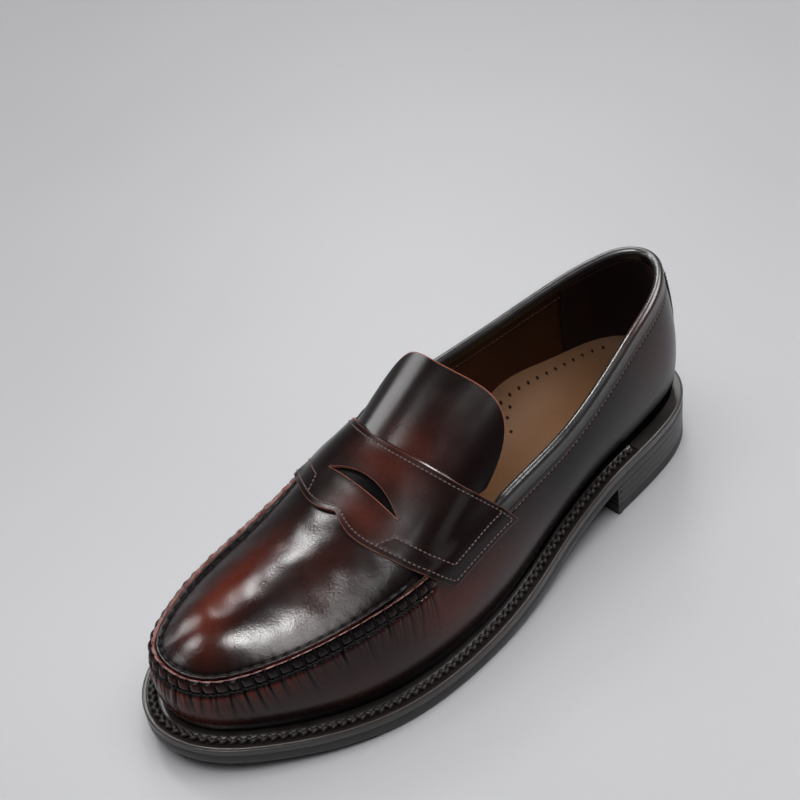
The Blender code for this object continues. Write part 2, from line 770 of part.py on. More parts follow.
def linings():
    """Vamp lining, the two quarter linings, the heel grip and the counter behind it."""
    foot, top, under_plug, counter_top = 0.03, 0.97, 0.84, 0.8
    depth = -(LEATHER + GAP)
    deeper = depth - LINING - 2 * GAP
    front = (rim_t(-6.0, True), rim_t(-6.0, False))
    grip = (rim_t(108.0, True), rim_t(108.0, False) - 1)
    gap_t = 0.0012
    spans = {
        "vamp_lining": (front[0] + gap_t, front[1] - gap_t, 42, under_plug, (BROWN, 0.5), depth),
        "quarter_lining_lateral": (grip[0] - 3 * gap_t, front[0] - gap_t, 16, top, (BROWN, 0.35), depth),
        "quarter_lining_medial": (front[1] + gap_t, 1 + grip[1] + 3 * gap_t, 16, top, (BROWN, 0.35), depth),
        "heel_grip": (grip[1], grip[0], 24, top, (SUEDE, 0.9), deeper),
        "heel_counter": (grip[1] + 5 * gap_t, grip[0] - 5 * gap_t, 22, counter_top, (BOARD, 0.8), depth),
    }
    for name, (start, stop, count, high, look, layer) in spans.items():
        vs = np.linspace(foot, high, 6)
        sheet(name, wall_grid(spread(start, stop, count), vs, layer), LINING, look)


def backstay():
    """Narrow strap over the back seam."""
    ts = np.linspace(-BACKSTAY_T, BACKSTAY_T, 5)
    points = wall_grid(ts, np.linspace(*BACKSTAY_V, 6), GAP)
    sheet("backstay", points, BACKSTAY, (OXBLOOD, 0.3), side=1)


# ---------------------------------------------------------------- saddle and tongue

def table(rows, u):
    """The second value of the rows at u, by straight lines between them."""
    rows = np.array(rows, float)
    return np.interp(u, rows[:, 0], rows[:, 1])


def strap_grid(form, clearance):
    """The strap's underside: columns from its front edge to its rear edge, side by side across."""
    columns = []
    for u in np.linspace(*SADDLE_ENDS, 41):
        ys = np.linspace(table(SADDLE_FRONT, u), table(SADDLE_REAR, u), 8)
        columns.append([form.point(u, y) for y in ys])
    points = np.array(columns)
    return points + sheet_normals(points) * clearance


def slot_cutter():
    """A lens with a straight front and an arched rear, standing through the strap."""
    steps = np.linspace(-1, 1, 11)
    outline = [(SLOT_MIDDLE_X + SLOT_HALF * s, SLOT_FRONT_Y) for s in steps]
    rear = [(SLOT_MIDDLE_X + SLOT_HALF * s, SLOT_FRONT_Y + SLOT_ARCH * (1 - s * s)) for s in steps]
    outline += rear[-2:0:-1]
    count = len(outline)
    low, high = 60, 95
    vertices = [(x, y, low) for x, y in outline] + [(x, y, high) for x, y in outline]
    faces = [tuple(range(count - 1, -1, -1)), tuple(range(count, 2 * count))]
    faces += [(k, (k + 1) % count, count + (k + 1) % count, count + k) for k in range(count)]
    return cutter("penny_slot", vertices, faces)


def saddle(form):
    item = sheet("saddle", strap_grid(form, SADDLE_SLACK), SADDLE, (OXBLOOD, 0.25), side=1)
    cut(item, slot_cutter())


def tongue(form):
    """The tongue: an arch that runs up and back from the saddle, hinged about a line across the foot."""
    direction = np.array([0, math.cos(TONGUE_SLOPE), math.sin(TONGUE_SLOPE)])
    us = np.linspace(*TONGUE_EDGES, 21)
    rows = []
    for u in us:
        base = form.point(u, table(SADDLE_REAR, u) + 0.8)
        length = TONGUE_LENGTH * (1 - (abs(u) / TONGUE_HALF) ** 6)
        rows.append([base + direction * length * k for k in np.linspace(0, 1, 7)])
    item = sheet("tongue", np.array(rows), TONGUE, (OXBLOOD, 0.25))
    place_origin(item, (0, *TONGUE_HINGE))


def place_origin(item, place):
    """Move a mesh object's origin without moving its shape."""
    shift = Vector([MM * c for c in place])
    item.data.transform(Matrix.Translation(-shift))
    item.location = shift


def build():
    outsole()
    welt_and_rand()
    welt_stitch()
    sole_filling()
    board = insole_board()
    sock_lining()
    heel_pad(board)
    heel_block()
    upper_wall()
    plug()
    seam_thread()
    collar()
    linings()
    backstay()
    form = Form()
    saddle(form)
    tongue(form)


clear_scene()
PARTS = new_collection(COLLECTION)
CUTTERS = new_collection("cutters")
build()
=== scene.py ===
"""Looks of the left penny loafer: fine leather, seams, stitches, sole edges and their materials.

Lengths in this file are millimetres in the frame's axes, toe to -Y and outer side to +X; MM turns
them into metres when a mesh is made.  Round the shoe, t runs from the back of the heel by the outer
side, the toe and the inner side.  Up the wall of the upper, v runs from the welt, 0, to the rim, 1.
"""
import math

import bmesh
import bpy
import numpy as np
from mathutils import Matrix, Vector
from mathutils.bvhtree import BVHTree


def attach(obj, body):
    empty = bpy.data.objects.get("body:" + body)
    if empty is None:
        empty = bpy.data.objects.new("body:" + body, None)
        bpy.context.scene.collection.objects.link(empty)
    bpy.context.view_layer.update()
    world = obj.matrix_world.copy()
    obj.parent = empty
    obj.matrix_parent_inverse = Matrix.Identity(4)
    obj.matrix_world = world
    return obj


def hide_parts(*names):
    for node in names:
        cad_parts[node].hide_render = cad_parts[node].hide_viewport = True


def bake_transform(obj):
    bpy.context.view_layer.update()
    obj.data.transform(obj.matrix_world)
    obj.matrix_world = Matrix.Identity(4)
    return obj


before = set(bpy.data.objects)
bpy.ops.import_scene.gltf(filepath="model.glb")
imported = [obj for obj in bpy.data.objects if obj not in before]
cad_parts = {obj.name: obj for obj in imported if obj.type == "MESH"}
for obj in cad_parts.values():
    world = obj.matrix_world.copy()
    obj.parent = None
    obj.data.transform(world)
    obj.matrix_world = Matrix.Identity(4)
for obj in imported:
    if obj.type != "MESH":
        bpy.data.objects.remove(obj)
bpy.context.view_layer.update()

MM = 0.001
BODY = "shoe"

# ---------------------------------------------------------------- driving dimensions

# Stations round the shoe: sole edge x, y, then the rim of the upper x, y, z.
STATIONS = (
    (-2.0, 150.0, -1.5, 138.5, 96.0),
    (15.0, 143.5, 9.4, 131.5, 94.8),
    (31.5, 107.0, 21.5, 102.0, 88.0),
    (40.0, 44.0, 29.0, 48.0, 67.5),
    (48.8, 9.0, 33.0, 8.0, 62.5),
    (55.0, -47.0, 38.3, -41.0, 53.6),
    (52.4, -72.5, 34.8, -70.0, 51.0),
    (30.5, -121.5, 15.0, -119.0, 43.8),
    (12.3, -142.3, 2.5, -131.5, 42.2),
    (-9.0, -150.0, -12.0, -135.8, 42.8),
    (-26.2, -145.6, -24.0, -132.8, 42.6),
    (-41.7, -131.4, -33.0, -121.0, 43.5),
    (-51.4, -107.2, -39.0, -102.0, 46.0),
    (-52.3, -53.0, -40.3, -55.0, 56.0),
    (-43.5, -23.0, -41.0, -26.0, 64.0),
    (-33.5, 7.0, -39.0, 2.0, 72.0),
    (-29.5, 42.0, -37.5, 38.0, 75.0),
    (-31.5, 77.0, -31.5, 74.0, 81.0),
    (-29.5, 131.0, -17.0, 124.5, 94.0),
    (-18.5, 143.7, -11.0, 134.5, 95.8),
)

OUTSOLE = 5.2
WELT = 4.0
WELT_BEVEL = 0.9
JOIN = 0.3                # clearance the frame leaves between the sole's layers
GAP = 0.1                 # by which the pieces drawn here stand clear of the outsole and the welt
WELT_WIDTH = 16.0
EDGE = OUTSOLE + JOIN + WELT
INSOLE = 2.2
SOCK = 1.0
FOOTBED = EDGE + JOIN + INSOLE + JOIN + SOCK   # sock lining's top above the outsole's underside
HEEL_PAD = 5.5            # moulded pad under the sock lining at the heel
HEEL_CUP = 6.0
ARCH_RISE = 9.0
ARCH_Y = 62.0
FORE_CUP = 0.8
HOLE_RADIUS = 0.75
HOLE_DEPTH = 0.28         # the air holes are blind; their dark bottoms are painted shade
CUP_POWER = 2.6
BALL_Y = -38.0
HEEL_HEIGHT = 17.0
SEAT_ROUNDING = 2.0
SHANK_LENGTH = 110.0
TOE_SPRING = 8.0
TOE_LENGTH = 112.0
BREAST_Y = 76.5
TOP_PIECE = 5.5
LIFT = 3.5
LIFTS = 3
RAND_Y = 95.0             # the welt gives way to the plain rand here

LEATHER = 1.8
LINING = 1.0
PLUG_LEATHER = 1.6
COLLAR_RADIUS = 2.3
COLLAR_DROP = 5.2
SEAM_LIP = 2.0
COLLAR_LIP = 4.2
PLUG_DROP = 2.0
CROWN = ((-140, 8.5), (-112, 9), (-80, 10), (-49, 11.5), (-32, 14), (-14, 16.5), (10, 18))
TOE_DOME = 25.0
PLUG_REAR_Y = -19.0

SADDLE = 1.6
SADDLE_SLACK = 0.35
SADDLE_HALF = 58.0
SADDLE_REAR = ((-58, 4.0), (-42, -6.5), (-22, -13.5), (0, -13.5), (17, -10), (33, -4), (46, 4),
               (58, 11))
SADDLE_NOTCH = -3.0
SADDLE_FRONT_INNER = ((-58, -33), (-44, -40), (-28, -47), (-12, -50.5), (-3, -48))
SADDLE_FRONT_OUTER = ((-3, -48), (8, -51.5), (28, -47.5), (46, -38.5), (58, -29.5))
SLOT_HALF = 21.5
SLOT_MIDDLE = -1.0        # measured across the instep
SLOT_FRONT_Y = -34.0
SLOT_ARCH = 5.2
SEAM_CROSSINGS = (-43.0, 43.5)   # where the strap passes over the seam

TONGUE = 2.0
TONGUE_LENGTH = 40.0
TONGUE_EDGES = (-34.0, 38.0)
TONGUE_SLOPE = math.radians(37.0)
TONGUE_TUCK = 3.0         # how far it reaches forward under the saddle

# Moccasin seam: leather blocks between the strands of a waxed thread.
SEAM_PITCH = 5.3
SEAM_STEPS = 16           # mesh columns from one strand to the next
SEAM_REAR_Y = -35.5       # where the seam has gone under the saddle
BLOCK_HEIGHT = 5.1
BLOCK_RISE = 1.1

# Fineness of the meshes.
TUBE_SIDES = 8
STITCH_RINGS = 7
HOLE_SIDES = 14
UPPER_SHARP = 75          # up to this angle between faces, in degrees, the upper is shaded smooth
EDGE_SHARP = 60           # and so are the sole's layers and the piping

# Stitch rows.
CHANNEL_INSET = 4.6       # middle of the welt's stitch channel, in from the sole edge
WELT_STITCH_PITCH = 4.1
TOPLINE_ROW = 4.6         # down the wall from its top
TOPLINE_PITCH = 2.5
ROW_GROOVE = 0.03         # how far the strap's rows are drawn in
ROW_INSET = 2.2           # the strap's first row, in from its edges
SECOND_ROW = 7.9          # the row across each end, in from that end
BOX_INSET = 8.8           # the box's upper side, in from the front edge
BOX_END = 25.0            # its ends, from the middle: above, then at the front edge
BOX_FOOT = 21.5
STRAP_PITCH = 2.15
BACKSTAY = 1.0
BACKSTAY_HALF = 0.0135    # half width, as a share of the way round

# Insets from the sole edge of the welt's columns.
WELT_INSETS = (0.0, 0.12, 0.3, 0.5, 0.7, 0.95, 1.4, 1.8, 2.05, 2.2, 2.4, 2.8, 3.1, 3.5, 4.0, 4.6, 5.2,
               5.7, 6.2, 6.8, 8.0, 10.0, WELT_WIDTH)
# Air holes, a row along each edge with a zigzag in front: step in from the footbed's edge, y.
AIR_HOLE_ROW = [(4.0, y) for y in np.arange(59, 131, 5.6)]
AIR_HOLES_FORWARD = [(7.2, 67), (9.4, 63), (10.4, 58.5), (7.4, 54), (10.6, 51), (13.2, 55), (14.4, 60)]

# Where the dark finish is rubbed through to red: x, y, z, reach across, reach along, strength.
WALL_GLOW = (
    (46, -28, 38, 15, 24, 0.65),
    (40, 8, 36, 12, 26, 0.35),
    (27, 114, 66, 14, 17, 0.55),
    (-30, 108, 52, 16, 22, 0.5),
    (-48, -30, 40, 16, 30, 0.5),
    (46, -88, 26, 12, 26, 0.25),
    (0, -140, 26, 30, 12, 0.42),
    (-38, -115, 28, 16, 22, 0.35),
)
PLUG_GLOW = (
    (-14, -108, 54, 10, 22, 1.0),
    (-18, -84, 58, 9, 22, 0.6),
    (-2, -120, 48, 9, 10, 0.4),
    (8, -66, 62, 12, 18, 0.18),
    (22, -92, 54, 10, 26, 0.15),
)
STRAP_GLOW = (
    (-6, -22, 77, 13, 8, 0.55),
    (8, -20, 76, 12, 9, 0.3),
    (2, -43, 73, 12, 8, 0.5),
    (14, -42, 70, 10, 9, 0.3),
)
TONGUE_GLOW = ((2, -9, 84, 14, 8, 0.45), (8, 4, 92, 12, 10, 0.1))
PIPING_GLOW = ((24, 110, 90, 12, 20, 0.3),)

# Lamps seen in reflections only: name, place, target, size, power; metres and watts.
WINDOWS = (
    ("key_above", (0.138, -0.60, 1.567), (0.01, -0.105, 0.052), (0.40, 0.38), 18.0),
    ("flank_window", (0.603, -0.517, 1.474), (0.027, -0.085, 0.05), (0.49, 0.54), 6.0),
    ("side_window", (-1.05, -0.42, 0.56), (0, -0.04, 0.07), (0.30, 0.50), 2.8),
    ("toe_window", (-0.52, -0.72, 0.70), (-0.01, -0.12, 0.05), (0.20, 0.20), 2.2),
    ("plug_window", (-0.66, 0.05, 0.82), (0, -0.06, 0.06), (0.18, 0.22), 4.0),
    ("rear_window", (0.20, 0.80, 1.0), (0.02, 0.05, 0.08), (0.9, 0.5), 14.0),
    ("collar_window", (-0.75, 0.62, 0.85), (0.02, 0.06, 0.08), (0.50, 0.35), 6.5),
    ("rear_kicker", (0.75, 0.22, 0.72), (0.03, -0.02, 0.06), (0.30, 0.30), 0.14),
)
CAMERA_ANGLES = (54.302, 40.068, -8.896)     # azimuth, elevation and roll, in degrees
CAMERA_PLACE = (403.45, -300.3, 525.07)      # in the axes of STATIONS


# ---------------------------------------------------------------- curves and surfaces

def unit(vectors):
    return vectors / np.linalg.norm(vectors, axis=-1, keepdims=True)


def hump(x, centre, width):
    return np.exp(-((x - centre) / width) ** 2)


def spread(ts, vs):
    """The t and the v of each point of a grid, from its rows' t and its columns' v."""
    return ts[:, None] + 0 * vs, vs + 0 * ts[:, None]


def run_along(points):
    """Distance along a line of points from the first one."""
    return np.append(0, np.cumsum(np.linalg.norm(np.diff(points, axis=0), axis=1)))


def eased_range(low, high, count):
    """Numbers from low to high, closer together at both ends."""
    return low + (high - low) * (1 - np.cos(np.linspace(0, math.pi, count))) / 2


def side_shares(count):
    """Shares of a half width from -1 to 1, closer together at both ends."""
    return np.sin(np.linspace(-1, 1, count) * math.pi / 2)


def closed_spline(points):
    """A smooth closed curve through the points, as a function of t from 0 to 1."""
    table = np.array(points, float)
    step = np.roll(table, -1, axis=0) - table
    chord = 0.5 * (np.linalg.norm(step[:, :2], axis=1) + np.linalg.norm(step[:, 2:4], axis=1))
    count = len(table)
    system = np.zeros((count, count))
    load = np.zeros_like(table)
    for i in range(count):
        system[i, i - 1] += chord[i - 1]
        system[i, i] += 2 * (chord[i - 1] + chord[i])
        system[i, (i + 1) % count] += chord[i]
        load[i] = 6 * (step[i] / chord[i] - step[i - 1] / chord[i - 1])
    bend = np.linalg.solve(system, load)
    knots = np.append(0, np.cumsum(chord))

    def value(t):
        s = np.mod(np.asarray(t, float), 1.0) * knots[-1]
        i = np.clip(np.searchsorted(knots, s, side="right") - 1, 0, count - 1)
        j = (i + 1) % count
        h = chord[i][..., None]
        b = (s - knots[i])[..., None] / h
        a = 1 - b
        return a * table[i] + b * table[j] + ((a ** 3 - a) * bend[i] + (b ** 3 - b) * bend[j]) * h * h / 6

    return value


def open_spline(points):
    """A natural cubic spline through the points, as a function of their first coordinate."""
    x, y = np.array(points, float).T
    h = np.diff(x)
    system = np.eye(len(x))
    load = np.zeros(len(x))
    for i in range(1, len(x) - 1):
        system[i, i - 1:i + 2] = h[i - 1], 2 * (h[i - 1] + h[i]), h[i]
        load[i] = 6 * ((y[i + 1] - y[i]) / h[i] - (y[i] - y[i - 1]) / h[i - 1])
    bend = np.linalg.solve(system, load)

    def value(at):
        i = np.clip(np.searchsorted(x, at, side="right") - 1, 0, len(h) - 1)
        b = (at - x[i]) / h[i]
        a = 1 - b
        curve = ((a ** 3 - a) * bend[i] + (b ** 3 - b) * bend[i + 1]) * h[i] ** 2 / 6
        return a * y[i] + b * y[i + 1] + curve

    return value


RAW_STATION = closed_spline(STATIONS)
RAW_EDGE = RAW_STATION(np.linspace(0, 1, 2000))[:, :2]
CENTRE = 0.5 * (RAW_EDGE.min(axis=0) + RAW_EDGE.max(axis=0))


def sole_edge(t):
    return RAW_STATION(t)[..., :2] - CENTRE


def rim(t):
    return RAW_STATION(t)[..., 2:] - np.append(CENTRE, 0)


def outward(curve, t):
    """Horizontal direction that points out of the closed curve at t."""
    small = 1e-4
    along = curve(np.asarray(t) + small)[..., :2] - curve(np.asarray(t) - small)[..., :2]
    return unit(np.stack([-along[..., 1], along[..., 0]], -1))


def smooth_step(x, low, high):
    k = np.clip((x - low) / (high - low), 0, 1)
    return k * k * (3 - 2 * k)


def soft_positive(x, width=1.2):
    """x above zero and nothing below, with a rounded corner."""
    return width * np.logaddexp(0, x / width)


def eased(y, places, values, reach=14.0):
    """Straight lines through the values with their corners rounded over the reach."""
    steps = np.linspace(-1, 1, 9) * reach
    return np.mean([np.interp(y + step, places, values) for step in steps], axis=0)


def sole_floor(y):
    """Height of the outsole's underside: flat heel seat, shank, ball on the ground, toe spring."""
    shank = HEEL_HEIGHT * np.clip((y - BALL_Y) / SHANK_LENGTH, 0, None) ** 2
    toe = TOE_SPRING * np.clip((BALL_Y - y) / TOE_LENGTH, 0, None) ** 2
    return toe - SEAT_ROUNDING * np.logaddexp(-shank / SEAT_ROUNDING, -HEEL_HEIGHT / SEAT_ROUNDING)


def feather_inset(y):
    """How far the upper meets the welt inside the sole edge."""
    return eased(y, (-60, 0, 60, 120, 146), (10, 8.5, 7.5, 7, 4.5))


def feather(t):
    """Where the upper meets the welt."""
    edge = sole_edge(t)
    flat = edge - outward(sole_edge, t) * feather_inset(edge[..., 1])[..., None]
    return np.concatenate([flat, (sole_floor(flat[..., 1]) + EDGE + GAP)[..., None]], -1)


def level(direction):
    """A horizontal direction as a vector in space."""
    return np.concatenate([direction, np.zeros_like(direction[..., :1])], -1)


def is_collar(t):
    """1 along the collar, 0 along the plug's seam, with a short change under the saddle."""
    return smooth_step(rim(t)[..., 1], -30, 0)


def wall_top(t):
    """The wall's upper end: outside the seam, or lower down under the collar's piping."""
    lip = SEAM_LIP + (COLLAR_LIP - SEAM_LIP) * is_collar(t)
    top = rim(t) + level(outward(rim, t)) * lip[..., None]
    top[..., 2] -= COLLAR_DROP * is_collar(t)
    return top


def wall(t, v):
    """Outer face of the upper's wall, a Bezier curve at each station."""
    low = feather(t)
    high = wall_top(t)
    out = outward(sole_edge, t)
    lean = np.sum((high - low)[..., :2] * out, axis=-1)
    height = high[..., 2] - low[..., 2]
    belly = low + level(out) * (4.5 + 0.45 * soft_positive(lean))[..., None]
    belly[..., 2] += 0.38 * height
    shoulder = high + level(out) * (1.0 + 0.68 * soft_positive(2.0 - lean))[..., None]
    shoulder[..., 2] -= 0.3 * height
    v = np.asarray(v, float)[..., None]
    u = 1 - v
    return u ** 3 * low + 3 * u * u * v * belly + 3 * u * v * v * shoulder + v ** 3 * high


def wall_normal(t, v):
    small = 1e-3
    along = wall(t + small, v) - wall(t - small, v)
    up = wall(t, v + small) - wall(t, v - small)
    return unit(np.cross(up, along))


def inner_normal(t, v):
    """The wall's normal, read a little inside its two ends."""
    return wall_normal(t, np.clip(v, 0.004, 0.996))


def wall_layer(t, v, distance):
    """The wall's surface moved out (above 0) or in along its normal."""
    return wall(t, v) + wall_normal(t, v) * np.asarray(distance)[..., None]


def v_below(t, depths):
    """For each t, the v of points at the given distances below the top, measured down the wall."""
    vs = np.linspace(1, 0, 220)
    run = down_wall(wall(*spread(t, vs)))
    return np.array([np.interp(depths, r, vs) for r in run])


def down_wall(points):
    """Distance from the first point of each row along it."""
    return np.cumsum(np.linalg.norm(np.diff(points, axis=1, prepend=points[:, :1]), axis=-1), axis=1)


DENSE = np.linspace(0, 1, 2400, endpoint=False)


def station_at(curve, y, outer):
    """Station of a closed curve at a given y, on its outer or its inner side."""
    ys = curve(DENSE)[:, 1]
    toe = DENSE[np.argmin(ys)]
    side = DENSE < toe if outer else DENSE > toe
    order = np.argsort(ys[side])
    return np.interp(y, ys[side][order], DENSE[side][order])


def rim_t(y, outer):
    return station_at(rim, y, outer)


def sole_t(y, outer):
    return station_at(sole_edge, y, outer)


def even(start, stop, step, curve):
    """Stations about one step apart along a curve."""
    fine = np.linspace(start, stop, 3000)
    run = run_along(curve(fine))
    count = max(2, int(round(run[-1] / step)) + 1)
    return np.interp(np.linspace(0, run[-1], count), run, fine)


def across(points, y):
    """Inner-side and outer-side points of a closed outline at each y."""
    points = np.roll(points, -int(np.argmax(points[:, 1])), axis=0)
    toe = int(np.argmin(points[:, 1]))
    inner = np.vstack([points[toe:], points[:1]])
    outer = points[:toe + 1][::-1]
    return [np.stack([np.interp(y, chain[:, 1], column) for column in chain.T], -1)
            for chain in (inner, outer)]


PLUG_OUTLINE = rim(DENSE) - level(outward(rim, DENSE)) * 0.2
PLUG_TOE_Y = PLUG_OUTLINE[:, 1].min()


def instep(x, y):
    """Height of the plug's outer face, continued back under the saddle and the tongue."""
    left, right = across(PLUG_OUTLINE, y)
    middle = 0.5 * (left + right)
    half = 0.5 * (right - left)
    a = np.clip((x - middle[..., 0]) / np.maximum(half[..., 0], 1e-3), -1, 1)
    base = middle[..., 2] + half[..., 2] * a - PLUG_DROP
    rise = 1 - (1 - np.clip((y - PLUG_TOE_Y) / TOE_DOME, 0, 1)) ** 2
    fullness = 1 + 0.9 * smooth_step(y, -80, -20)
    crown = eased(y, *np.array(CROWN, float).T) + PLUG_DROP
    return base + crown * rise * (1 - a * a) ** (1 / fullness)


# ---------------------------------------------------------------- mesh tools

def grid_faces(rows, columns, close_rows=False, close_columns=False, first=0):
    """Quads over a grid of vertices numbered row by row."""
    i = np.arange(rows if close_rows else rows - 1)[:, None]
    j = np.arange(columns if close_columns else columns - 1)
    row, below, beside = i * columns, (i + 1) % rows * columns, (j + 1) % columns
    quads = np.stack([row + j, below + j, below + beside, row + beside], -1)
    return (quads.reshape(-1, 4) + first).tolist()


def in_scene(name, data):
    item = bpy.data.objects.new(name, data)
    bpy.context.scene.collection.objects.link(item)
    return item


def place_mesh(name, points, faces, materials):
    """A mesh object in the scene, from points in millimetres."""
    mesh = bpy.data.meshes.new(name)
    mesh.from_pydata((np.asarray(points, float).reshape(-1, 3) * MM).tolist(), [], faces)
    for material in materials:
        mesh.materials.append(material)
    return in_scene(name, mesh)


def piece(name, points, faces, materials, body=BODY, slot=None, replaces=(), face_slots=None, layers=None,
          sharp=50):
    """A smooth-shaded piece with its point layers, riding on its body."""
    item = place_mesh(name, points, faces, materials)
    if face_slots is not None:
        item.data.polygons.foreach_set("material_index", np.asarray(face_slots, np.int32))
    for key, values in (layers or {}).items():
        attribute = item.data.attributes.new(key, "FLOAT", "POINT")
        attribute.data.foreach_set("value", np.asarray(values, np.float32).ravel())
    shade(item.data, sharp)
    if body:
        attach(item, body)
    if replaces:
        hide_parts(*replaces)
    return item


def shade(mesh, sharp):
    mesh.shade_smooth()
    mesh.set_sharp_from_angle(angle=math.radians(sharp))


def edit(item, operation, part, **settings):
    """Run a bmesh operation on all faces or all vertices of a piece."""
    work = bmesh.new()
    work.from_mesh(item.data)
    operation(work, **{part: getattr(work, part)}, **settings)
    work.to_mesh(item.data)
    work.free()
    return item


def face_out(item):
    """Turn the faces of a closed mesh outwards."""
    return edit(item, bmesh.ops.recalc_face_normals, "faces")


def merge_close(item):
    edit(item, bmesh.ops.remove_doubles, "verts", dist=0.02 * MM)


def thicken(item, thickness, outwards, rim_slot=1, bevel=0.3):
    """Give a sheet its thickness, with its own material on the cut edge and a small round on it."""
    solid = item.modifiers.new("thickness", "SOLIDIFY")
    solid.thickness = MM * thickness
    solid.offset = 1 if outwards else -1
    solid.material_offset_rim = rim_slot
    if bevel:
        rounding = item.modifiers.new("edges", "BEVEL")
        rounding.width = MM * bevel
        rounding.segments = 2
        rounding.limit_method = "ANGLE"
        rounding.angle_limit = math.radians(50)
        rounding.harden_normals = True


def normals_of(points):
    """Unit normals of a grid of points, by its two directions."""
    return unit(np.cross(np.gradient(points, axis=0), np.gradient(points, axis=1)))


def facing(points, faces, normals):
    """The faces, turned over if they look against the given vertex normals."""
    points = points.reshape(-1, 3)
    normals = normals.reshape(-1, 3)
    picked = np.array(faces[::max(1, len(faces) // 500)])
    corner = points[picked]
    look = np.cross(corner[:, 1] - corner[:, 0], corner[:, 3] - corner[:, 0])
    agree = np.sum(look * normals[picked[:, 0]])
    return faces if agree > 0 else [face[::-1] for face in faces]


def circle(side, up, sides=TUBE_SIDES):
    """Unit circles spanned by pairs of directions, each circle's points on an axis of their own."""
    angle = np.linspace(0, 2 * math.pi, sides, endpoint=False)[:, None]
    return side[..., None, :] * np.cos(angle) + up[..., None, :] * np.sin(angle)


def tube_faces(rings, sides=TUBE_SIDES):
    """Faces of a tube, with a polygon on each end."""
    last = (rings - 1) * sides
    ends = [list(range(sides)), [last + k for k in range(sides)][::-1]]
    return grid_faces(rings, sides, close_columns=True) + ends


def bar_faces(rows, columns):
    """Faces of a bar whose section runs down the rows, with a polygon on each end."""
    start = [k * columns for k in range(rows)]
    stop = [k + columns - 1 for k in start]
    return grid_faces(rows, columns, close_rows=True) + [start, stop[::-1]]


def tube(points, radius):
    """Vertices and faces of a round tube along the points, with a radius for each."""
    along = unit(np.gradient(points, axis=0))
    side = unit(np.cross(along, (0, 0, 1.0)))
    ring = circle(side, np.cross(side, along))
    vertices = points[:, None] + ring * np.asarray(radius)[:, None, None]
    return vertices.reshape(-1, 3), tube_faces(len(points))


def join_shapes(shapes):
    """One list of vertices and faces from many."""
    points = []
    faces = []
    first = 0
    for vertices, quads in shapes:
        points.append(vertices)
        faces += [[first + k for k in quad] for quad in quads]
        first += len(vertices)
    return np.vstack(points), faces


def stitch_shape(centres, along, normals, length, radius, lift):
    """Thread stitches as small arched capsules whose ends dive into the leather."""
    s = np.linspace(-0.5, 0.5, STITCH_RINGS)
    swell = np.sqrt(np.clip(1 - (1.9 * np.abs(s)) ** 4, 0.05, 1))
    side = unit(np.cross(along, normals))
    middle = centres[:, None] + along[:, None] * (s * length)[None, :, None]
    middle = middle + normals[:, None] * (lift * (1 - (2 * s) ** 2))[None, :, None]
    ring = circle(side[:, None], normals[:, None])
    vertices = middle[:, :, None] + ring * (radius * swell)[None, :, None, None]
    faces = tube_faces(STITCH_RINGS)
    return join_shapes([(block.reshape(-1, 3), faces) for block in vertices])


def walk(points, normals, pitch, start=0.5):
    """Places, directions and normals at an even pitch along a line."""
    run = run_along(points)
    count = max(1, int(round(run[-1] / pitch)))
    at = (np.arange(count) + start) * run[-1] / count

    def read(values, where):
        return np.stack([np.interp(where, run, column) for column in values.T], -1)

    along = unit(read(points, at + 0.3) - read(points, at - 0.3))
    normal = read(normals, at)
    normal -= along * np.sum(normal * along, axis=1, keepdims=True)
    return read(points, at), along, unit(normal)


def spots(points, places):
    """A soft patch round each place: x, y, z, reach across, reach along, strength."""
    total = np.zeros(points.shape[:-1])
    for x, y, z, reach, length, strength in places:
        d = ((points[..., 0] - x) / reach) ** 2 + ((points[..., 2] - z) / reach) ** 2
        d = d + ((points[..., 1] - y) / length) ** 2
        total += strength * np.exp(-d)
    return np.clip(total, 0, 1)


def sheet_faces(points, normals=None):
    """Faces of a grid of points, turned the way the normals look, or up."""
    if normals is None:
        normals = np.zeros_like(points) + (0, 0, 1)
    return facing(points, grid_faces(*points.shape[:2]), normals)


def thread_piece(name, shapes, look="waxed", replaces=()):
    """Threads or stitches as one piece."""
    face_out(piece(name, *join_shapes(shapes), [LOOK[look]], slot="waxed_thread", replaces=replaces))


def sewn(name, rows, length, radius, lift, look="stitch", replaces=()):
    """Rows of stitches as one piece."""
    thread_piece(name, [stitch_shape(*row, length, radius, lift) for row in rows], look, replaces)


def leather_sheet(name, points, faces, looks, replaces, layers, thickness, outwards, bevel):
    """A sheet of upper leather with its thickness; points that meet are merged."""
    item = piece(name, points, faces, [LOOK[look] for look in looks], slot="upper_leather",
                 replaces=replaces, layers=layers, sharp=UPPER_SHARP)
    merge_close(item)
    shade(item.data, UPPER_SHARP)
    thicken(item, thickness, outwards, bevel=bevel)


# ---------------------------------------------------------------- materials

